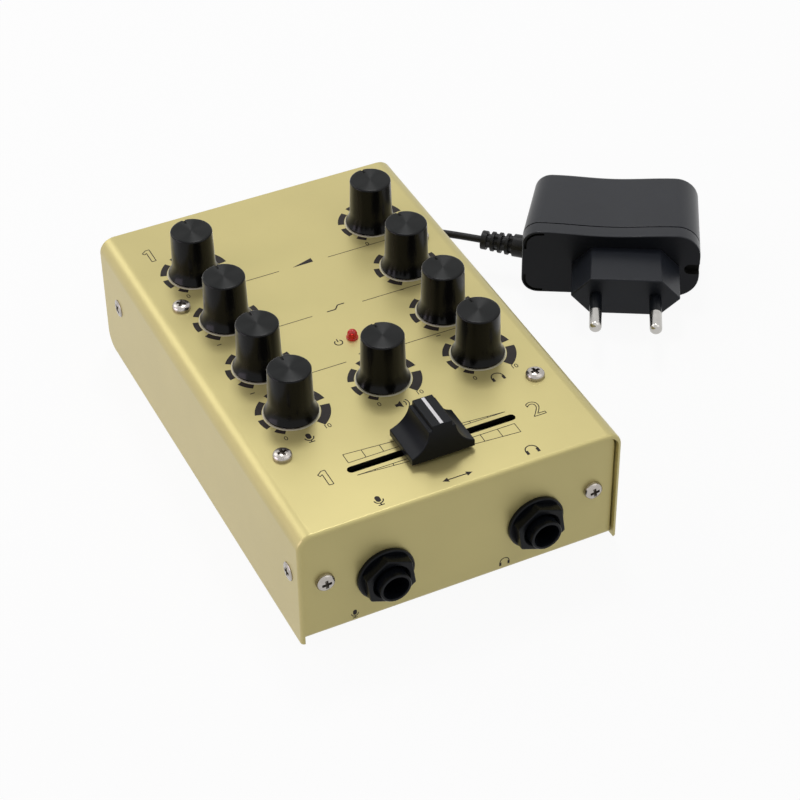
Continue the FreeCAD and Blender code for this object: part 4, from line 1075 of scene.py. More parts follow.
@dataclass
class Knobs:
    """The nine turning knobs.

    Attributes:
        top: The radius at the top.
        waist: The radius where the skirt starts.
        skirt: The skirt's radius.
        rim: The skirt's edge height.
        flare: The height where the skirt starts.
        round: The rounding of the top's edge.
        bore: The bore's radius.
        roof: The thickness above the bore.
        recess: The depth of the hollow underneath.
        wall: The skirt's wall round that hollow.
        chamfer: The chamfer of the skirt's lower edge.
        border: The width of the top's outer border.
        notch: The pointer notch's width, length and depth.
    """

    top: float = 6.35
    waist: float = 6.6
    skirt: float = 7.9
    rim: float = 0.6
    flare: float = 5.0
    round: float = 0.5
    bore: float = 3.03
    roof: float = 3.0
    recess: float = 2.0
    wall: float = 1.4
    chamfer: float = 0.2
    border: float = 0.6
    notch: Triple = (0.9, 2.4, 0.6)

    def build(self) -> None:
        """Makes one knob and stands a copy on each shaft."""
        high = extent("master_knob").z
        one = self.make_one(high)
        for name in KNOBS:
            node = f"{name}_knob"
            at = middle(node)
            copy = one.copy()
            copy.transform(Matrix.Translation((at.x, at.y, at.z - high / 2)))
            show(f"{name}_cap", copy, [KNOB_SIDE, KNOB_TOP], f"{name}_control", [node],
                 smooth=24.0)
        bpy.data.meshes.remove(one)

    def make_one(self, high: float) -> bpy.types.Mesh:
        """Makes one knob with its base's middle at the origin.

        Args:
            high: The knob's height.

        Returns:
            The knob's mesh, with its spun top as the second material.
        """
        out = self.skirt - self.waist
        up = self.flare - self.rim
        sweep = (out * out + up * up) / (2 * out)
        hub = (self.waist + sweep, self.flare)
        last = math.degrees(math.asin(up / sweep))
        flare = arc(hub, sweep, 180 + last, 180, 12)
        inner_rim = self.skirt - self.wall
        profile = [(0, high - self.roof), (self.bore, high - self.roof), (self.bore, self.recess)]
        profile += [(inner_rim, self.recess), (inner_rim, 0)]
        profile += [(self.skirt - self.chamfer, 0), (self.skirt, self.chamfer)]
        profile += flare
        edge = arc((self.top - self.round, high - self.round), self.round, 5, 85, 5)
        profile += edge + [(self.top - self.round - self.border, high), (0, high)]
        shape = Shape()
        shape.lathe(profile, 96)
        cutter = Shape()
        width, length, depth = self.notch
        cutter.box((width, length * 2, depth * 2), (0, self.top, high))
        made = carve(shape.mesh("knob"), cutter.mesh("notch"))
        top = high - self.round * 0.2
        layer = made.uv_layers.new(name=SPUN_MAP)
        for face in made.polygons:
            face.material_index = 1 if face.normal.z > 0.9 and face.center.z > top else 0
            for corner in face.loop_indices:
                spot = made.vertices[made.loops[corner].vertex_index].co
                layer.data[corner].uv = self.map_point(spot, face.center)
        return made

    def map_point(self, spot: Vector, near: Vector) -> Point:
        """Places a corner in the knob's own map: its distance from the axis, and its direction.

        Args:
            spot: The corner.
            near: The middle of its face, which tells which turn the direction counts in.

        Returns:
            The distance as a share of the knob's width, and the direction as a share of a turn.
        """
        away = spot.xy
        facing = math.atan2(near.y, near.x)
        aside = near.xy.angle_signed(away, 0.0) if away.length > TOUCH else 0.0
        return away.length / (2 * self.skirt), (facing - aside) / FULL_TURN


@dataclass
class Crossfader:
    """The crossfader's cap.

    Attributes:
        wing: The height of the wings' tips.
        ridge: The ridge's width and length.
        shoulder: The shoulder's width, and its drop below the ridge.
        sink: How deep the scoops are.
        edge: The rounding of the edges.
        line: The white line's width, length and thickness.
        line_rise: How far the line stands above the ridge.
    """

    wing: float = 2.2
    ridge: Point = (6.2, 12.7)
    shoulder: Point = (8.2, 1.6)
    sink: float = 1.4
    edge: float = 0.28
    line: Triple = (1.0, 12.0, 0.2)
    line_rise: float = 0.04

    def build(self) -> None:
        """Makes the cap and its white line."""
        size = extent("fader_cap")
        at = middle("fader_cap")
        base = at.z - size.z / 2
        high = size.z
        ridge_x = self.ridge[0] / 2
        step_x = self.shoulder[0] / 2
        step_z = high - self.shoulder[1]
        outer = size.x / 2
        run = Vector((outer - step_x, self.wing - step_z))
        bend = (run.length_squared / 4 + self.sink ** 2) / (2 * self.sink)
        side = Vector((-run.y, run.x)).normalized()
        hub = Vector((step_x, step_z)) + run / 2 + side * (bend - self.sink)
        first = math.degrees(math.atan2(step_z - hub.y, step_x - hub.x))
        last = math.degrees(math.atan2(self.wing - hub.y, outer - hub.x))
        scoop = arc(tuple(hub), bend, first % 360, last % 360, 10)
        right = [(ridge_x, high), (ridge_x, step_z)] + scoop + [(outer, 0)]
        left = [(-x, z) for x, z in reversed(right)]
        shape = Shape()
        verts = shape.prism(right + left, -0.5, 0.5)
        shape.place(Matrix.Rotation(math.pi / 2, 4, "X"))
        for vert in verts:
            share = min(max((vert.co.z - self.wing) / (high - self.wing), 0.0), 1.0)
            vert.co.y *= size.y + (self.ridge[1] - size.y) * share
        shape.soften(self.edge, 3, 28.0)
        shape.place(Matrix.Translation((at.x, at.y, base)))
        show("crossfader_cap", shape.mesh("crossfader_cap"), [CAP_BLACK], "crossfader", ["fader_cap"],
             smooth=30.0)
        line = Shape()
        line.box(self.line, (at.x, at.y, base + high + self.line_rise - self.line[2] / 2))
        line.soften(self.line_rise, 1)
        show("crossfader_line", line.mesh("crossfader_line"), [WHITE_INK], "crossfader")


@dataclass
class PowerLed:
    """The power LED: a domed lens with a rim on the cover, and the spacer that it stands on under it.

    Attributes:
        radius: The lens's radius.
        rim: How far the rim stands out from it.
        rim_height: The rim's height.
        rim_slope: How much higher the rim meets the lens.
        drop: How far the dome lies below its solid's top.
        play: The gap between the spacer and the cover.
    """

    radius: float = 1.5
    rim: float = 0.3
    rim_height: float = 0.4
    rim_slope: float = 0.1
    drop: float = 0.4
    play: float = 0.1

    def build(self) -> None:
        """Makes the lens with its spacer."""
        size = extent("power_led")
        at = middle("power_led")
        foot = at.z - size.z / 2
        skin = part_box("top_cover")[1].z / MM - foot
        spacer_top = skin - Case.wall - self.play
        wide = size.x / 2
        slim = self.radius
        rim = slim + self.rim
        profile = [(0, 0), (wide, 0), (wide, spacer_top), (slim, spacer_top), (slim, skin), (rim, skin)]
        profile += [(rim, skin + self.rim_height), (slim, skin + self.rim_height + self.rim_slope)]
        profile += arc((0, size.z - slim - self.drop), slim, 0, 90, 10)
        shape = Shape()
        shape.lathe(profile, 40)
        shape.place(Matrix.Translation((at.x, at.y, foot)))
        show("led_lens", shape.mesh("led_lens"), [RED_LENS], CASE, ["power_led"])


@dataclass
class JackSocket:
    """A front jack socket's bush and flanged hexagon nut.

    Attributes:
        name: Which socket it is.
        bush: The bush's radius.
        bore: The bore's radius.
        depth: The bore's depth.
        flats: The nut's width across flats.
        turn: How far the nut is turned, in degrees.
        flange: The nut's flange height.
        edge: The rounding of the nut's edges.
        play: The gap between nut and bush.
        mouth: The depth of the countersink round the bush.
        funnel: How deep the bore's mouth narrows.
        lip: The wall at the bush's end.
        chamfer: The chamfer of the bush's end.
        floor: The thickness behind the bore.
        block_edge: The rounding of the block behind the panel.
        thinner: How much thinner the nut looks than its solid.
    """

    name: str
    bush: float = 4.75
    bore: float = 3.25
    depth: float = 32.0
    flats: float = 14.0
    turn: float = 38.0
    flange: float = 1.3
    edge: float = 0.35
    play: float = 0.05
    mouth: float = 1.0
    funnel: float = 2.2
    lip: float = 0.75
    chamfer: float = 0.2
    floor: float = 2.0
    block_edge: float = 0.4
    thinner: float = 0.8

    def build(self) -> None:
        """Makes the bush with its bore, the block behind the panel, and the nut."""
        nut_node = f"{self.name}_jack_nut"
        body_node = f"{self.name}_jack_body"
        at = middle(nut_node)
        low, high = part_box(body_node)
        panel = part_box(nut_node)[1].y / MM
        nose = panel - low.y / MM
        lay = Matrix.Translation((at.x, panel, at.z)) @ Matrix.Rotation(math.pi / 2, 4, "X")

        nut = Shape()
        nut.add_copy(self.make_nut(extent(nut_node)), lay)
        show(f"{self.name}_nut", nut.mesh(nut_node), [SOCKET_BLACK], CASE, [nut_node],
             smooth=28.0)

        tube = Shape()
        back = nose - self.depth
        wall = self.bush
        lip = wall - self.lip
        half = self.chamfer / 2
        profile = [(0, back), (self.bore, back), (self.bore, nose - self.funnel), (lip - half, nose - half)]
        profile += [(lip, nose), (wall - self.chamfer, nose), (wall, nose - self.chamfer)]
        profile += [(wall, -Case.wall), (0, back - self.floor)]
        tube.lathe(profile, 72)
        tube.place(lay)
        size = extent(body_node)
        spot = middle(body_node)
        size.y = high.y / MM - panel - Case.wall
        spot.y = panel + Case.wall + size.y / 2
        block = Shape()
        block.box(size, spot)
        block.soften(self.block_edge, 2)
        tube.add_copy(block.mesh("jack_block"), Matrix.Identity(4))
        show(f"{self.name}_bush", tube.mesh(body_node), [SOCKET_BLACK], CASE, [body_node],
             smooth=28.0)

    def make_nut(self, size: Vector) -> bpy.types.Mesh:
        """Makes the flanged hexagon nut with its flange on the XY plane and its front up.

        Args:
            size: The lengths of the nut's box, as it stands in the panel.

        Returns:
            The nut's mesh.
        """
        high = size.y - self.thinner
        hexagon = Shape()
        corner = self.flats / 2 / math.cos(math.pi / 6)
        hexagon.prism(arc((0, 0), corner, self.turn, self.turn + 300, 5), self.flange * 0.5, high)
        hexagon.soften(self.edge, 3, 30.0)
        hole = self.bush + self.play
        above = high + self.mouth * 0.2
        countersink = hole + above - high + self.mouth
        cutter = Shape()
        cutter.lathe([(0, -1), (hole, -1), (hole, high - self.mouth), (countersink, above), (0, above)], 72)
        nut = Shape()
        nut.add_copy(carve(hexagon.mesh("hexagon"), cutter.mesh("thread")), Matrix.Identity(4))
        rim = size.x / 2
        flange = self.flange
        ring = [(hole, 0), (rim, 0), (rim, flange - self.edge), (rim - self.edge, flange), (hole, flange)]
        nut.lathe(ring, 72)
        return nut.mesh("nut")


# Printed marks
@dataclass
class PanelPrint:
    """Printed scales, lines, plain numbers and simple signs.

    Attributes:
        film: How far the print stands above the metal.
        sink: How far it reaches into the metal.
        stroke: The width of thin lines.
        ring: The inner and outer radius of the pale ring round a knob.
        scale_start: Where a scale starts, in degrees clockwise from the rear.
        growing: The sweeps of the growing scale's marks, in degrees.
        gap: The gap between them, in degrees.
        even_count: How many marks the even scale has.
        even_sweep: The sweep of one of them, in degrees.
        scale_end: Where a scale ends, in degrees.
        inner: The scales' inner radius.
        outer: The outer radius of the first and of the last mark.
        even_share: Where the even scale's outer radius lies between those two.
        low_end: The distance and direction of a scale's low sign.
        high_end: The distance and direction of its high sign.
        digit: The height of a scale's numbers.
        sign: The width of its minus and plus.
        minus_drop: How far the minus lies in front of the low end.
        heavy: The stroke of its minus and plus.
        rows: The places of the lines between the knob rows.
        row_break: Where those lines stop for their sign.
        row_sign: The sign's place from the line's middle.
        ladder_reach: Half the length of the ladders beside the fader.
        ladder_steps: How many rungs a ladder has.
        ladders: For each ladder, the side of its thin end, its near edge and its far edge.
        arrow_row: The place of the fader's arrow.
        arrow: Half its shaft's length, its barbs' place, its tip's place and half its barbs' width.
        arrow_stroke: The width of its shaft.
        socket_row: The place of the sockets' signs on the cover.
        front_sign: A socket's sign on the front panel, beside the socket and above the table.
        front_size: The size of that sign.
        channel: The height of the channels' numbers.
        channel_stroke: The width of their outline.
        ones: The places of the first channel's numbers.
        twos: The places of the second channel's numbers.
        one: The corners of a figure one, as shares of its height.
    """

    film: float = 0.025
    sink: float = 0.05
    stroke: float = 0.22
    ring: Point = (7.6, 8.3)
    scale_start: float = 214.0
    scale_end: float = 506.0
    growing: tuple[float, ...] = (19.0, 26.0, 35.0, 44.0, 49.0, 49.0)
    gap: float = 14.0
    even_count: int = 7
    even_sweep: float = 27.5
    inner: float = 8.45
    outer: Point = (9.8, 11.3)
    even_share: float = 0.25
    low_end: Point = (11.6, 211.0)
    high_end: Point = (12.2, 147.0)
    digit: float = 1.7
    sign: float = 1.4
    minus_drop: float = 0.4
    heavy: float = 0.32
    rows: Triple = (36.0, 11.2, -12.8)
    row_break: Point = (-6.4, 10.0)
    row_sign: Point = (1.6, 0.8)
    ladder_reach: float = 24.4
    ladder_steps: int = 9
    ladders: tuple[Triple, ...] = ((1, -53.1, -49.3), (-1, -58.8, -62.7))
    arrow_row: float = -71.6
    arrow: tuple[float, float, float, float] = (3.0, 2.8, 4.6, 0.9)
    arrow_stroke: float = 0.36
    socket_row: float = -70.6
    front_sign: Point = (-9.5, 5.2)
    front_size: float = 0.8
    channel: float = 6.2
    channel_stroke: float = 0.26
    ones: tuple[Point, ...] = ((-38.7, 61.0), (-32.4, -56.0))
    twos: tuple[Point, ...] = ((38.7, 61.0), (32.8, -56.0))
    one: tuple[Point, ...] = (
        (-0.08, -0.5), (0.14, -0.5), (0.14, 0.5), (-0.04, 0.5), (-0.28, 0.32), (-0.2, 0.19), (-0.08, 0.28))

    def build(self) -> None:
        """Prints the cover and the front panel."""
        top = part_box("top_cover")[1].z / MM
        black = Shape()
        pale = Shape()
        for name, scale in KNOBS.items():
            at = middle(f"{name}_knob")
            centre = (at.x, at.y)
            self.sector(pale, centre, self.ring[0], self.ring[1], 0.0, 360.0)
            self.print_scale(black, centre, scale)
        self.print_rows(black)
        self.print_fader(black)
        self.print_signs(black)
        self.print_channels(black)
        self.finish(black, "panel_print", INK, Matrix.Translation((0, 0, top)))
        self.finish(pale, "knob_rings", PALE_INK, Matrix.Translation((0, 0, top)))

        front = Shape()
        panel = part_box("base_chassis")[0].y / MM
        aside, height = self.front_sign
        self.microphone(front, (middle("mic_jack_nut").x + aside, height), self.front_size)
        self.headphones(front, (middle("phones_jack_nut").x + aside, height), self.front_size)
        upright = Matrix.Translation((0, panel, 0)) @ Matrix.Rotation(math.pi / 2, 4, "X")
        self.finish(front, "front_print", INK, upright)

    def finish(self, shape: Shape, name: str, ink: Finish, place: Matrix) -> None:
        """Gives flat marks their thickness and lays them on the metal.

        Args:
            shape: The marks, flat at height 0.
            name: The piece's name.
            ink: Its finish.
            place: Where height 0 and up lie on the object.
        """
        flat = list(shape.bm.faces)
        bmesh.ops.recalc_face_normals(shape.bm, faces=flat)
        raised = bmesh.ops.extrude_face_region(shape.bm, geom=flat, use_keep_orig=True)
        verts = [item for item in raised["geom"] if isinstance(item, bmesh.types.BMVert)]
        bmesh.ops.translate(shape.bm, verts=verts, vec=(0, 0, self.film + self.sink))
        shape.place(place @ Matrix.Translation((0, 0, -self.sink)))
        show(name, shape.mesh(name), [ink], CASE)

    def sector(self, shape: Shape, centre: Point, inner: float, outer: float, start: float,
               sweep: float) -> None:
        """Adds a piece of a ring.

        Args:
            shape: The marks.
            centre: The ring's middle.
            inner: Its inner radius.
            outer: Its outer radius.
            start: Where it starts, in degrees clockwise from the rear.
            sweep: How far it goes, in degrees.
        """
        ends = [shape.bm.verts.new(clock(centre, radius, start)) for radius in (inner, outer)]
        edge = shape.bm.edges.new(ends)
        steps = max(int(sweep / 4), 3)
        bmesh.ops.spin(shape.bm, geom=[*ends, edge], cent=(*centre, 0), axis=(0, 0, -1), dvec=(0, 0, 0),
                       angle=math.radians(sweep), steps=steps, use_merge=sweep >= 360.0)

    def bar(self, shape: Shape, start: Point, end: Point, width: float) -> None:
        """Adds a straight stroke.

        Args:
            shape: The marks.
            start: Its first end.
            end: Its last end.
            width: Its width.
        """
        way = (Vector(end) - Vector(start)).normalized()
        side = Vector((-way.y, way.x)) * width / 2
        a, b = Vector(start), Vector(end)
        shape.loop([tuple(a - side), tuple(b - side), tuple(b + side), tuple(a + side)])

    def path(self, shape: Shape, points: Sequence[Point], width: float) -> None:
        """Adds strokes from point to point."""
        for start, end in zip(points, points[1:]):
            self.bar(shape, start, end, width)

    def print_scale(self, shape: Shape, centre: Point, scale: Scale) -> None:
        """Prints the marks round a knob, and a plain sign or number at each end.

        Args:
            shape: The marks.
            centre: The knob's middle.
            scale: Which scale it has.
        """
        sweeps = list(self.growing)
        gap = self.gap
        if scale is Scale.EVEN:
            sweeps = [self.even_sweep] * self.even_count
            gap = (self.scale_end - self.scale_start - sum(sweeps)) / (self.even_count - 1)
        start = self.scale_start
        for number, sweep in enumerate(sweeps):
            share = number / (len(sweeps) - 1) if scale is Scale.GROWING else self.even_share
            outer = self.outer[0] + (self.outer[1] - self.outer[0]) * share
            self.sector(shape, centre, self.inner, outer, start, sweep)
            start += sweep + gap
        low = clock(centre, *self.low_end)
        high = clock(centre, *self.high_end)
        if scale is Scale.GROWING:
            self.number(shape, "0", (low.x, low.y), self.digit)
            self.number(shape, "10", (high.x, high.y), self.digit)
            return
        half = self.sign / 2
        minus = low.y - self.minus_drop
        self.bar(shape, (low.x - self.sign, minus), (low.x, minus), self.heavy)
        self.bar(shape, (high.x, high.y), (high.x + self.sign, high.y), self.heavy)
        self.bar(shape, (high.x + half, high.y - half), (high.x + half, high.y + half), self.heavy)

    def number(self, shape: Shape, digits: str, at: Point, height: float, outline: float = 0.0) -> None:
        """Prints a plain number.

        Args:
            shape: The marks.
            digits: The number.
            at: Its middle.
            height: The height of its digits.
            outline: The width of its outline, or 0 for filled digits.
        """
        data = bpy.data.curves.new("digits", "FONT")
        data.body = digits
        data.size = height / 0.7
        data.align_x = "CENTER"
        data.align_y = "CENTER"
        data.resolution_u = 4
        text = bpy.data.objects.new("digits", data)
        bpy.context.scene.collection.objects.link(text)
        bpy.context.view_layer.update()
        graph = bpy.context.evaluated_depsgraph_get()
        mesh = bpy.data.meshes.new_from_object(text.evaluated_get(graph))
        bpy.data.objects.remove(text)
        flat = Shape()
        flat.bm.from_mesh(mesh)
        bpy.data.meshes.remove(mesh)
        bmesh.ops.remove_doubles(flat.bm, verts=flat.bm.verts, dist=JOIN_DISTANCE)
        if outline:
            rims = [edge for edge in flat.bm.edges if edge.is_boundary]
            for edge in rims:
                start, end = (vert.co for vert in edge.verts)
                self.bar(shape, (at[0] + start.x, at[1] + start.y), (at[0] + end.x, at[1] + end.y), outline)
            flat.bm.free()
            return
        shape.add_copy(flat.mesh("digits"), Matrix.Translation((*at, 0)))

    def print_rows(self, shape: Shape) -> None:
        """Prints the thin lines between the knob rows, each with a sign of its row in the middle."""
        column = middle("gain_2_knob").x
        for row, draw in zip(self.rows, (self.wedge, self.high_shelf, self.low_shelf)):
            self.bar(shape, (-column, row), (self.row_break[0], row), self.stroke)
            self.bar(shape, (self.row_break[1], row), (column, row), self.stroke)
            draw(shape, (self.row_sign[0], row + self.row_sign[1]))

    def print_fader(self, shape: Shape) -> None:
        """Prints the two tapered ladders beside the fader slot, and the arrow in front of it."""
        reach = self.ladder_reach
        steps = self.ladder_steps
        for side, near, far in self.ladders:
            self.path(shape, [(side * reach, near), (-side * reach, near)], self.stroke)
            self.path(shape, [(side * reach, near), (-side * reach, far)], self.stroke)
            for step in range(steps):
                share = 1 - step / steps
                x = -side * reach * (2 * share - 1)
                self.bar(shape, (x, near), (x, near + (far - near) * share), self.stroke)
        row = self.arrow_row
        half, barb, tip, wide = self.arrow
        self.path(shape, [(-half, row), (half, row)], self.arrow_stroke)
        for side in (-1, 1):
            shape.loop([(side * tip, row), (side * barb, row + wide), (side * barb, row - wide)])

    def print_signs(self, shape: Shape) -> None:
        """Prints simple signs by the LED, the level knobs and the sockets."""
        signs = {
            "power_led": (self.power, (-4.6, -0.4)),
            "mic_level_knob": (self.microphone, (0.0, -12.4)),
            "cue_level_knob": (self.headphones, (0.0, -12.2)),
            "master_knob": (self.speaker, (-0.4, -12.6)),
        }
        for node, (draw, (aside, ahead)) in signs.items():
            at = middle(node)
            draw(shape, (at.x + aside, at.y + ahead))
        self.microphone(shape, (middle("mic_jack_nut").x, self.socket_row))
        self.headphones(shape, (middle("phones_jack_nut").x, self.socket_row))

    def print_channels(self, shape: Shape) -> None:
        """Prints the channels' outlined numbers at the rear corners and beside the fader."""
        for x, y in self.ones:
            one = [(x + self.channel * across, y + self.channel * up) for across, up in self.one]
            self.path(shape, one + one[:1], self.channel_stroke)
        for at in self.twos:
            self.number(shape, "2", at, self.channel, self.channel_stroke)

    def wedge(self, shape: Shape, at: Point) -> None:
        """A wedge that grows to the right."""
        x, y = at
        shape.loop([(x - 3.4, y - 0.9), (x + 3.4, y - 0.9), (x + 3.4, y + 1.1)])

    def high_shelf(self, shape: Shape, at: Point) -> None:
        """A line that rises to the right."""
        x, y = at
        step = [(x - 3.2, y - 0.8), (x - 0.4, y - 0.8), (x + 1.0, y + 0.9), (x + 3.2, y + 0.9)]
        self.path(shape, step, 0.4)

    def low_shelf(self, shape: Shape, at: Point) -> None:
        """A line that rises to the left."""
        x, y = at
        step = [(x - 3.2, y + 0.9), (x - 1.0, y + 0.9), (x + 0.4, y - 0.8), (x + 3.2, y - 0.8)]
        self.path(shape, step, 0.4)

    def power(self, shape: Shape, at: Point) -> None:
        """The usual sign for power: a ring open at the top, and a bar."""
        self.sector(shape, at, 1.0, 1.35, 35.0, 290.0)
        self.bar(shape, (at[0], at[1] + 0.35), (at[0], at[1] + 1.7), 0.34)

    def microphone(self, shape: Shape, at: Point, size: float = 1.0) -> None:
        """A plain microphone on its foot."""
        x, y = at
        wide = 0.75 * size
        shape.loop(arc((x, y + size), wide, 0, 180, 8) + arc((x, y + 0.1 * size), wide, 180, 360, 8))
        self.sector(shape, (x, y + 0.1 * size), 1.15 * size, 1.5 * size, 90.0, 180.0)
        self.bar(shape, (x, y - 1.2 * size), (x, y - 2.0 * size), 0.34 * size)
        self.bar(shape, (x - 0.9 * size, y - 2.0 * size), (x + 0.9 * size, y - 2.0 * size), 0.34 * size)

    def headphones(self, shape: Shape, at: Point, size: float = 1.0) -> None:
        """A plain pair of headphones."""
        x, y = at
        self.sector(shape, (x, y - 0.2 * size), 1.65 * size, 2.0 * size, 270.0, 180.0)
        for side in (-1, 1):
            ear = x + side * 1.65 * size
            self.bar(shape, (ear, y - 0.1 * size), (ear, y - 1.7 * size), 0.85 * size)

    def speaker(self, shape: Shape, at: Point) -> None:
        """A plain loudspeaker with two waves."""
        x, y = at
        shape.loop([(x - 1.8, y - 0.6), (x - 0.9, y - 0.6), (x + 0.2, y - 1.5), (x + 0.2, y + 1.5),
                    (x - 0.9, y + 0.6), (x - 1.8, y + 0.6)])
        for radius in (1.3, 2.2):
            self.sector(shape, (x, y), radius, radius + 0.32, 50.0, 80.0)


# Power adapter
class FrontSkin(IntEnum):
    """The material numbers of the adapter's front."""

    SHELL = 0
    BLOCK = 1
    # The front face, which carries painted shade.
    FACE = 2
    # The walls of the recess and grooves, which carry painted shade.
    HOLLOW = 3


@dataclass
class Adapter:
    """The plug-in power adapter, in its own frame: X along its front face, Y away from its pins, Z up.

    Attributes:
        at: The middle of its front face's lower edge.
        turn: How far it is turned, in degrees.
        length: Its length.
        depth: Its depth.
        height: Its height.
        seam: How far the seam lies behind the front face.
        seam_gap: Half the seam's width.
        back_round: The rounding of its back.
        seam_edge: The rounding of the rear shell at the seam.
        face_edge: The rounding of the front shell.
        left_corner: The radius of its left corners.
        right_corner: The radius of its right corners.
        dip: How far its top dips in the middle.
        dip_steps: How many pieces the dipped stretch has.
        taper: How far its left end is drawn in at its back.
        block_x: The plug block's middle along X.
        block_z: The plug block's middle height.
        block: The plug block's width, the width of its flat top, its height and its reach.
        block_root: How far the block reaches into the shell.
        block_edge: The rounding of its edges.
        pin_spacing: The distance between the pins.
        pin: The pins' radius.
        pin_length: The pins' length.
        bare: The length of their bare tips.
        pin_core: Their radius inside the sleeves.
        pin_root: How far they reach into the block.
        sleeve_gap: The gap between pin and sleeve.
        sleeve_edge: The bevel of the sleeves' ends.
        boot_length: The boot's length.
        boot_shift: How far the boot lies behind the front face.
        boot_z: The height of the boot's axis.
        boot_turn: How far the boot is turned backwards, in degrees.
        boot_radii: The boot's radius at its root and at its tip.
        boot_core: The radius between the boot's ribs.
        boot_ribs: How many ribs it has between its root and its tip.
        boot_bands: The lengths of its root, of a rib and of its tip.
        boot_seat: How far its root reaches into the adapter.
        bridge: The width of the bridges between ribs, how far they stay inside, and their hold in the ribs.
        groove: The corner grooves' width, their inset, the length of their straight ends and their depth.
        recess: The length, width and depth of the recess at the right end.
        recess_z: The recess's middle height.
    """

    at: Triple = (106.0, 27.1, 0.0)
    turn: float = -29.8
    length: float = 57.7
    depth: float = 33.8
    height: float = 24.2
    seam: float = 5.4
    seam_gap: float = 0.12
    back_round: float = 1.7
    seam_edge: float = 0.22
    face_edge: float = 0.45
    left_corner: float = 5.4
    right_corner: float = 8.0
    dip: float = 0.9
    dip_steps: int = 16
    taper: float = 3.6
    block_x: float = 4.8
    block_z: float = 11.9
    block: tuple[float, float, float, float] = (35.3, 22.4, 13.7, 16.9)
    block_root: float = 1.0
    block_edge: float = 0.5
    pin_spacing: float = 19.0
    pin: float = 2.0
    pin_length: float = 17.0
    bare: float = 8.6
    pin_core: float = 1.4
    pin_root: float = 8.0
    sleeve_gap: float = 0.03
    sleeve_edge: float = 0.12
    boot_length: float = 13.8
    boot_shift: float = 8.4
    boot_z: float = 12.0
    boot_turn: float = 13.2
    boot_radii: Point = (3.8, 3.1)
    boot_core: float = 2.1
    boot_ribs: int = 3
    boot_bands: Triple = (3.0, 1.1, 1.9)
    boot_seat: float = 0.8
    bridge: Triple = (1.7, 0.9, 0.4)
    groove: tuple[float, float, float, float] = (0.8, 1.0, 1.6, 0.9)
    recess: Triple = (5.0, 3.8, 2.4)
    recess_z: float = 11.2

    def build(self) -> bpy.types.Object:
        """Makes every piece of the adapter.

        Returns:
            The boot that its cord comes out of.
        """
        upright = self.stand() @ Matrix.Rotation(math.pi / 2, 4, "X")
        self.build_rear(upright)
        self.build_front(upright)
        self.build_pins(upright)
        return self.build_boot()

    def stand(self) -> Matrix:
        """The adapter's place on the table."""
        return Matrix.Translation(self.at) @ Matrix.Rotation(math.radians(self.turn), 4, "Z")

    def boot_place(self) -> Matrix:
        """The boot's place: its root at the adapter's end, and its axis along Z."""
        back = math.radians(self.boot_turn)
        way = Vector((-math.cos(back), math.sin(back), 0))
        root = Matrix.Translation((-self.length / 2, self.boot_shift, self.boot_z))
        return self.stand() @ root @ way.to_track_quat("Z", "Y").to_matrix().to_4x4()

    def boot_tip(self) -> Vector:
        """Where the cord leaves the boot."""
        return self.boot_place() @ Vector((0, 0, self.boot_length))

    def outline(self) -> list[Point]:
        """The adapter's outline seen from its pins.

        Returns:
            Its corners in order.
        """
        near = self.left_corner
        far = self.right_corner
        high = self.height
        start = self.length / 2 - far
        end = near - self.length / 2
        points = arc((start, far), far, -90, 0, 10) + arc((start, high - far), far, 0, 90, 10)
        for step in range(1, self.dip_steps):
            share = step / self.dip_steps
            wave = math.sin(math.pi * share) ** 2
            points.append((start + (end - start) * share, high - self.dip * wave))
        points += arc((end, high - near), near, 90, 180, 8) + arc((end, near), near, 180, 270, 8)
        return points

    def build_rear(self, upright: Matrix) -> None:
        """Makes the rear shell, rounded at its back and drawn in at its left end.

        Args:
            upright: The adapter's place, with its outline's Y axis up.
        """
        shape = Shape()
        verts = shape.prism(self.outline(), -self.depth, -self.seam - self.seam_gap)
        back = -self.depth
        last = self.length / 2 - self.right_corner
        run = last + self.length / 2 - self.left_corner
        for vert in verts:
            if vert.co.z < back + TOUCH:
                vert.co.x += self.taper * min(max((last - vert.co.x) / run, 0.0), 1.0)

        def at_back(edge: bmesh.types.BMEdge) -> bool:
            """Whether an edge lies at the back."""
            return all(abs(vert.co.z - back) < TOUCH for vert in edge.verts)

        shape.soften(self.back_round, 5, 40.0, at_back)
        shape.soften(self.seam_edge, 2, 40.0)
        shape.place(upright)
        show("adapter_back", shape.mesh("adapter_back"), [ADAPTER_BLACK], CASE, ["adapter_rear_shell"],
             smooth=30.0)

    def build_front(self, upright: Matrix) -> None:
        """Makes the front shell with its plug block, corner grooves and screw recess, with painted shade on
        its front face and in its hollows.

        Args:
            upright: The adapter's place, with its outline's Y axis up.
        """
        shape = Shape()
        shape.prism(self.outline(), self.seam_gap - self.seam, 0.0)
        shape.soften(self.face_edge, 3, 40.0)
        # Faces that look straight ahead take the darker copy: painted shade on the front face.
        for side in shape.bm.faces:
            side.material_index = FrontSkin.FACE if side.normal.z > 0.95 else FrontSkin.SHELL
        mesh = carve(shape.mesh("front"), self.recess_tool())
        block = Shape()
        width, face, tall, reach = self.block
        x, z = self.block_x, self.block_z
        hexagon = [(x + width / 2, z), (x + face / 2, z + tall / 2), (x - face / 2, z + tall / 2),
                   (x - width / 2, z), (x - face / 2, z - tall / 2), (x + face / 2, z - tall / 2)]
        block.prism(hexagon, -self.block_root, reach)
        block.soften(self.block_edge, 3, 20.0)
        for side in block.bm.faces:
            side.material_index = FrontSkin.BLOCK
        whole = Shape()
        whole.add_copy(mesh, upright)
        whole.add_copy(block.mesh("block"), upright)
        finishes = [ADAPTER_BLACK, PLUG_BLACK, FACE_SHADE_BLACK, HOLLOW_SHADE_BLACK]
        show("adapter_face", whole.mesh("adapter_face"), finishes, CASE, ["adapter_front_shell"],
             smooth=30.0)

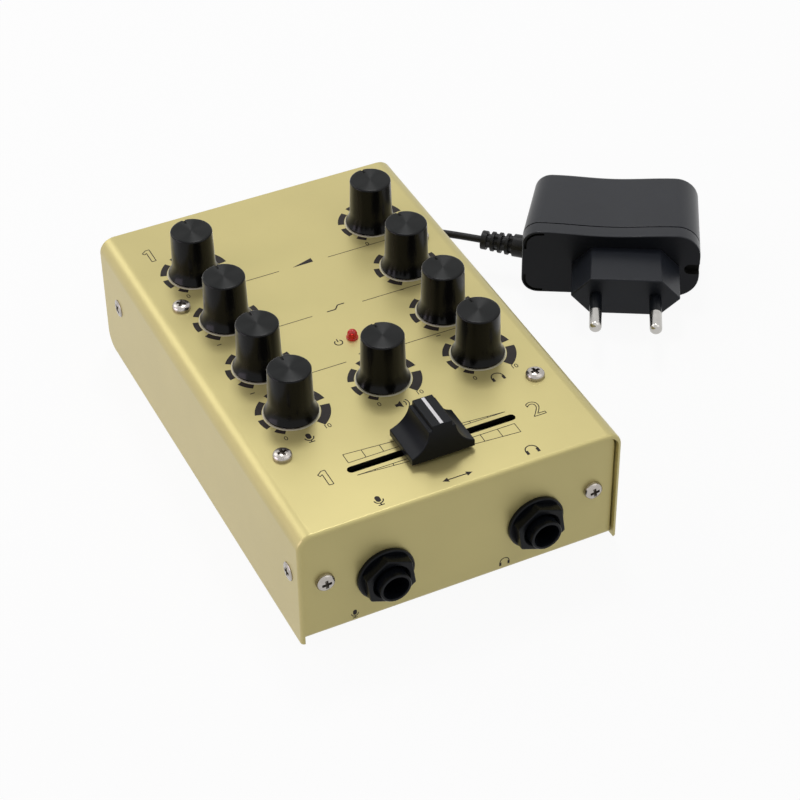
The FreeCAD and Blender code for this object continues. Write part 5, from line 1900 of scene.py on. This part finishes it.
    def recess_tool(self) -> bpy.types.Mesh:
        """Makes what cuts the screw recess and the two corner grooves, with painted shade on their walls.

        Returns:
            The tool's mesh.
        """
        tool = Shape()
        end = self.length / 2
        long, wide, deep = self.recess
        low, high = self.recess_z - wide / 2, self.recess_z + wide / 2
        notch = arc((end - long + wide / 2, self.recess_z), wide / 2, 90, 270, 12)
        tool.prism(notch + [(end + 1, low), (end + 1, high)], -deep, 1.0)
        width, inset, straight, shallow = self.groove
        bend = self.left_corner - inset
        middle_x = inset - end + bend
        for middle_z, start in ((self.height - inset - bend, 90), (inset + bend, 180)):
            rails = []
            for radius in (bend + width / 2, bend - width / 2):
                curve = arc((middle_x, middle_z), radius, start, start + 90, 8)
                back = Vector((math.sin(math.radians(start)), -math.cos(math.radians(start)))) * straight
                ahead = Vector((-back.y, back.x)) * -1
                rails.append([tuple(Vector(curve[0]) + back), *curve, tuple(Vector(curve[-1]) + ahead)])
            tool.prism(rails[0] + rails[1][::-1], -shallow, 0.6)
        # The hollows' walls carry painted shade.
        for side in tool.bm.faces:
            side.material_index = FrontSkin.HOLLOW
        return tool.mesh("recesses")

    def build_pins(self, upright: Matrix) -> None:
        """Makes the two plug pins and their sleeves.

        Args:
            upright: The adapter's place, with its outline's Y axis up.
        """
        face = self.block[3]
        covered = face + self.pin_length - self.bare
        tip = face + self.pin_length
        radius = self.pin
        core = self.pin_core
        root = face - self.pin_root
        metal = [(0, root), (core, root), (core, covered), (radius - 0.05, covered), (radius, covered + 0.1)]
        metal += [(radius, tip - 1.5), (radius * 0.93, tip - 0.85), (radius * 0.7, tip - 0.3)]
        metal += [(radius * 0.4, tip - 0.06), (0, tip)]
        inner = core + self.sleeve_gap
        edge = self.sleeve_edge
        cover = [(inner, face), (radius, face), (radius, covered - edge), (radius - edge, covered)]
        cover += [(inner, covered), (inner, face)]
        pins = Shape()
        sleeves = Shape()
        for side in (-1, 1):
            spot = Matrix.Translation((self.block_x + side * self.pin_spacing / 2, self.block_z, 0))
            pins.place(upright @ spot, pins.lathe(metal, 40))
            sleeves.place(upright @ spot, sleeves.lathe(cover, 40))
        show("plug_pins", pins.mesh("plug_pins"), [NICKEL], CASE, ["adapter_pins"])
        show("plug_sleeves", sleeves.mesh("plug_sleeves"), [SOCKET_BLACK], CASE, ["pin_sleeves"])

    def build_boot(self) -> bpy.types.Object:
        """Makes the ribbed bend relief.

        Returns:
            The piece.
        """
        wide, slim = self.boot_radii
        core = self.boot_core
        length = self.boot_length
        root, rib, tip = self.boot_bands
        gap = (length - root - tip - rib * self.boot_ribs) / (self.boot_ribs + 1)
        bands = [(-self.boot_seat, root)]
        for step in range(self.boot_ribs):
            low = root + gap + step * (rib + gap)
            bands.append((low, low + rib))
        bands.append((length - tip, length))
        shape = Shape()
        shape.lathe([(0, -2.6), (core + 0.8, -2.6), (core + 0.8, 1.0), (core, 1.4),
                     (core, length - 0.3), (core - 0.3, length), (0, length)], 40)
        for number, (low, high) in enumerate(bands):
            radius = wide + (slim - wide) * (low + high) / (2 * length)
            ring = [(core - 0.3, low), (radius - 0.1, low), (radius, low + 0.1), (radius, high - 0.1),
                    (radius - 0.1, high), (core - 0.3, high)]
            shape.lathe(ring, 40)
            if number:
                last = bands[number - 1][1]
                thick, inset, hold = self.bridge
                size = [thick, thick, low - last + hold]
                size[number % 2] = 2 * radius - inset
                shape.box(size, (0, 0, (low + last) / 2))
        shape.place(self.boot_place())
        return show("cord_boot", shape.mesh("cord_boot"), [CORD_BLACK], CASE, ["strain_relief"])


# Rear panel and insides
@dataclass
class RearPanel:
    """The sockets, switches and post of the rear panel.

    Attributes:
        socket_edge: The rounding of the phono sockets' edges.
        inlet_edge: The rounding of the power inlet's edges.
        post_edge: The rounding of the ground post's edges.
        switch_edge: The rounding of the slide switches' edges.
    """

    socket_edge: float = 0.12
    inlet_edge: float = 0.2
    post_edge: float = 0.25
    switch_edge: float = 0.2

    def build(self) -> None:
        """Dresses every piece of the panel."""
        smooth_copy("rca_shells", NICKEL, edge=self.socket_edge)
        smooth_copy("rca_inserts_left", WHITE_PLASTIC, edge=self.socket_edge)
        smooth_copy("rca_inserts_right", RED_PLASTIC, edge=self.socket_edge)
        smooth_copy("dc_inlet", SOCKET_BLACK, edge=self.inlet_edge)
        smooth_copy("ground_post", NICKEL, edge=self.post_edge)
        for name in ("selector_1", "selector_2"):
            smooth_copy(name, SOCKET_BLACK, f"{name}_switch", self.switch_edge)


def dress_insides() -> None:
    """Gives the pieces inside the case and the adapter their finishes."""
    finishes = {
        BOARD_GREEN: ("main_board", "adapter_board"),
        SOCKET_BLACK: ("board_components", "pot_bodies", "rca_blocks", "selector_bodies", "fader_carriage"),
        STEEL: ("board_standoffs", "board_screws", "corner_brackets", "fader_frame", "fader_rails"),
        NICKEL: tuple(f"{name}_shaft" for name in KNOBS),
    }
    for finish, nodes in finishes.items():
        for node in nodes:
            mesh = frame["nodes"][node].data
            mesh.materials.clear()
            mesh.materials.append(finish.material())
            LOG.info("%s: %s", node, finish.name)


def main() -> None:
    """Builds the studio and every piece in order."""
    logging.basicConfig(level=logging.INFO, format="%(message)s")
    Studio().build()
    adapter = Adapter()
    Cord().build(adapter.build(), adapter.boot_tip())
    Case().build()
    Screws().build()
    Knobs().build()
    Crossfader().build()
    PowerLed().build()
    for name in ("mic", "phones"):
        JackSocket(name).build()
    PanelPrint().build()
    RearPanel().build()
    dress_insides()


if __name__ == "__main__":
    main()
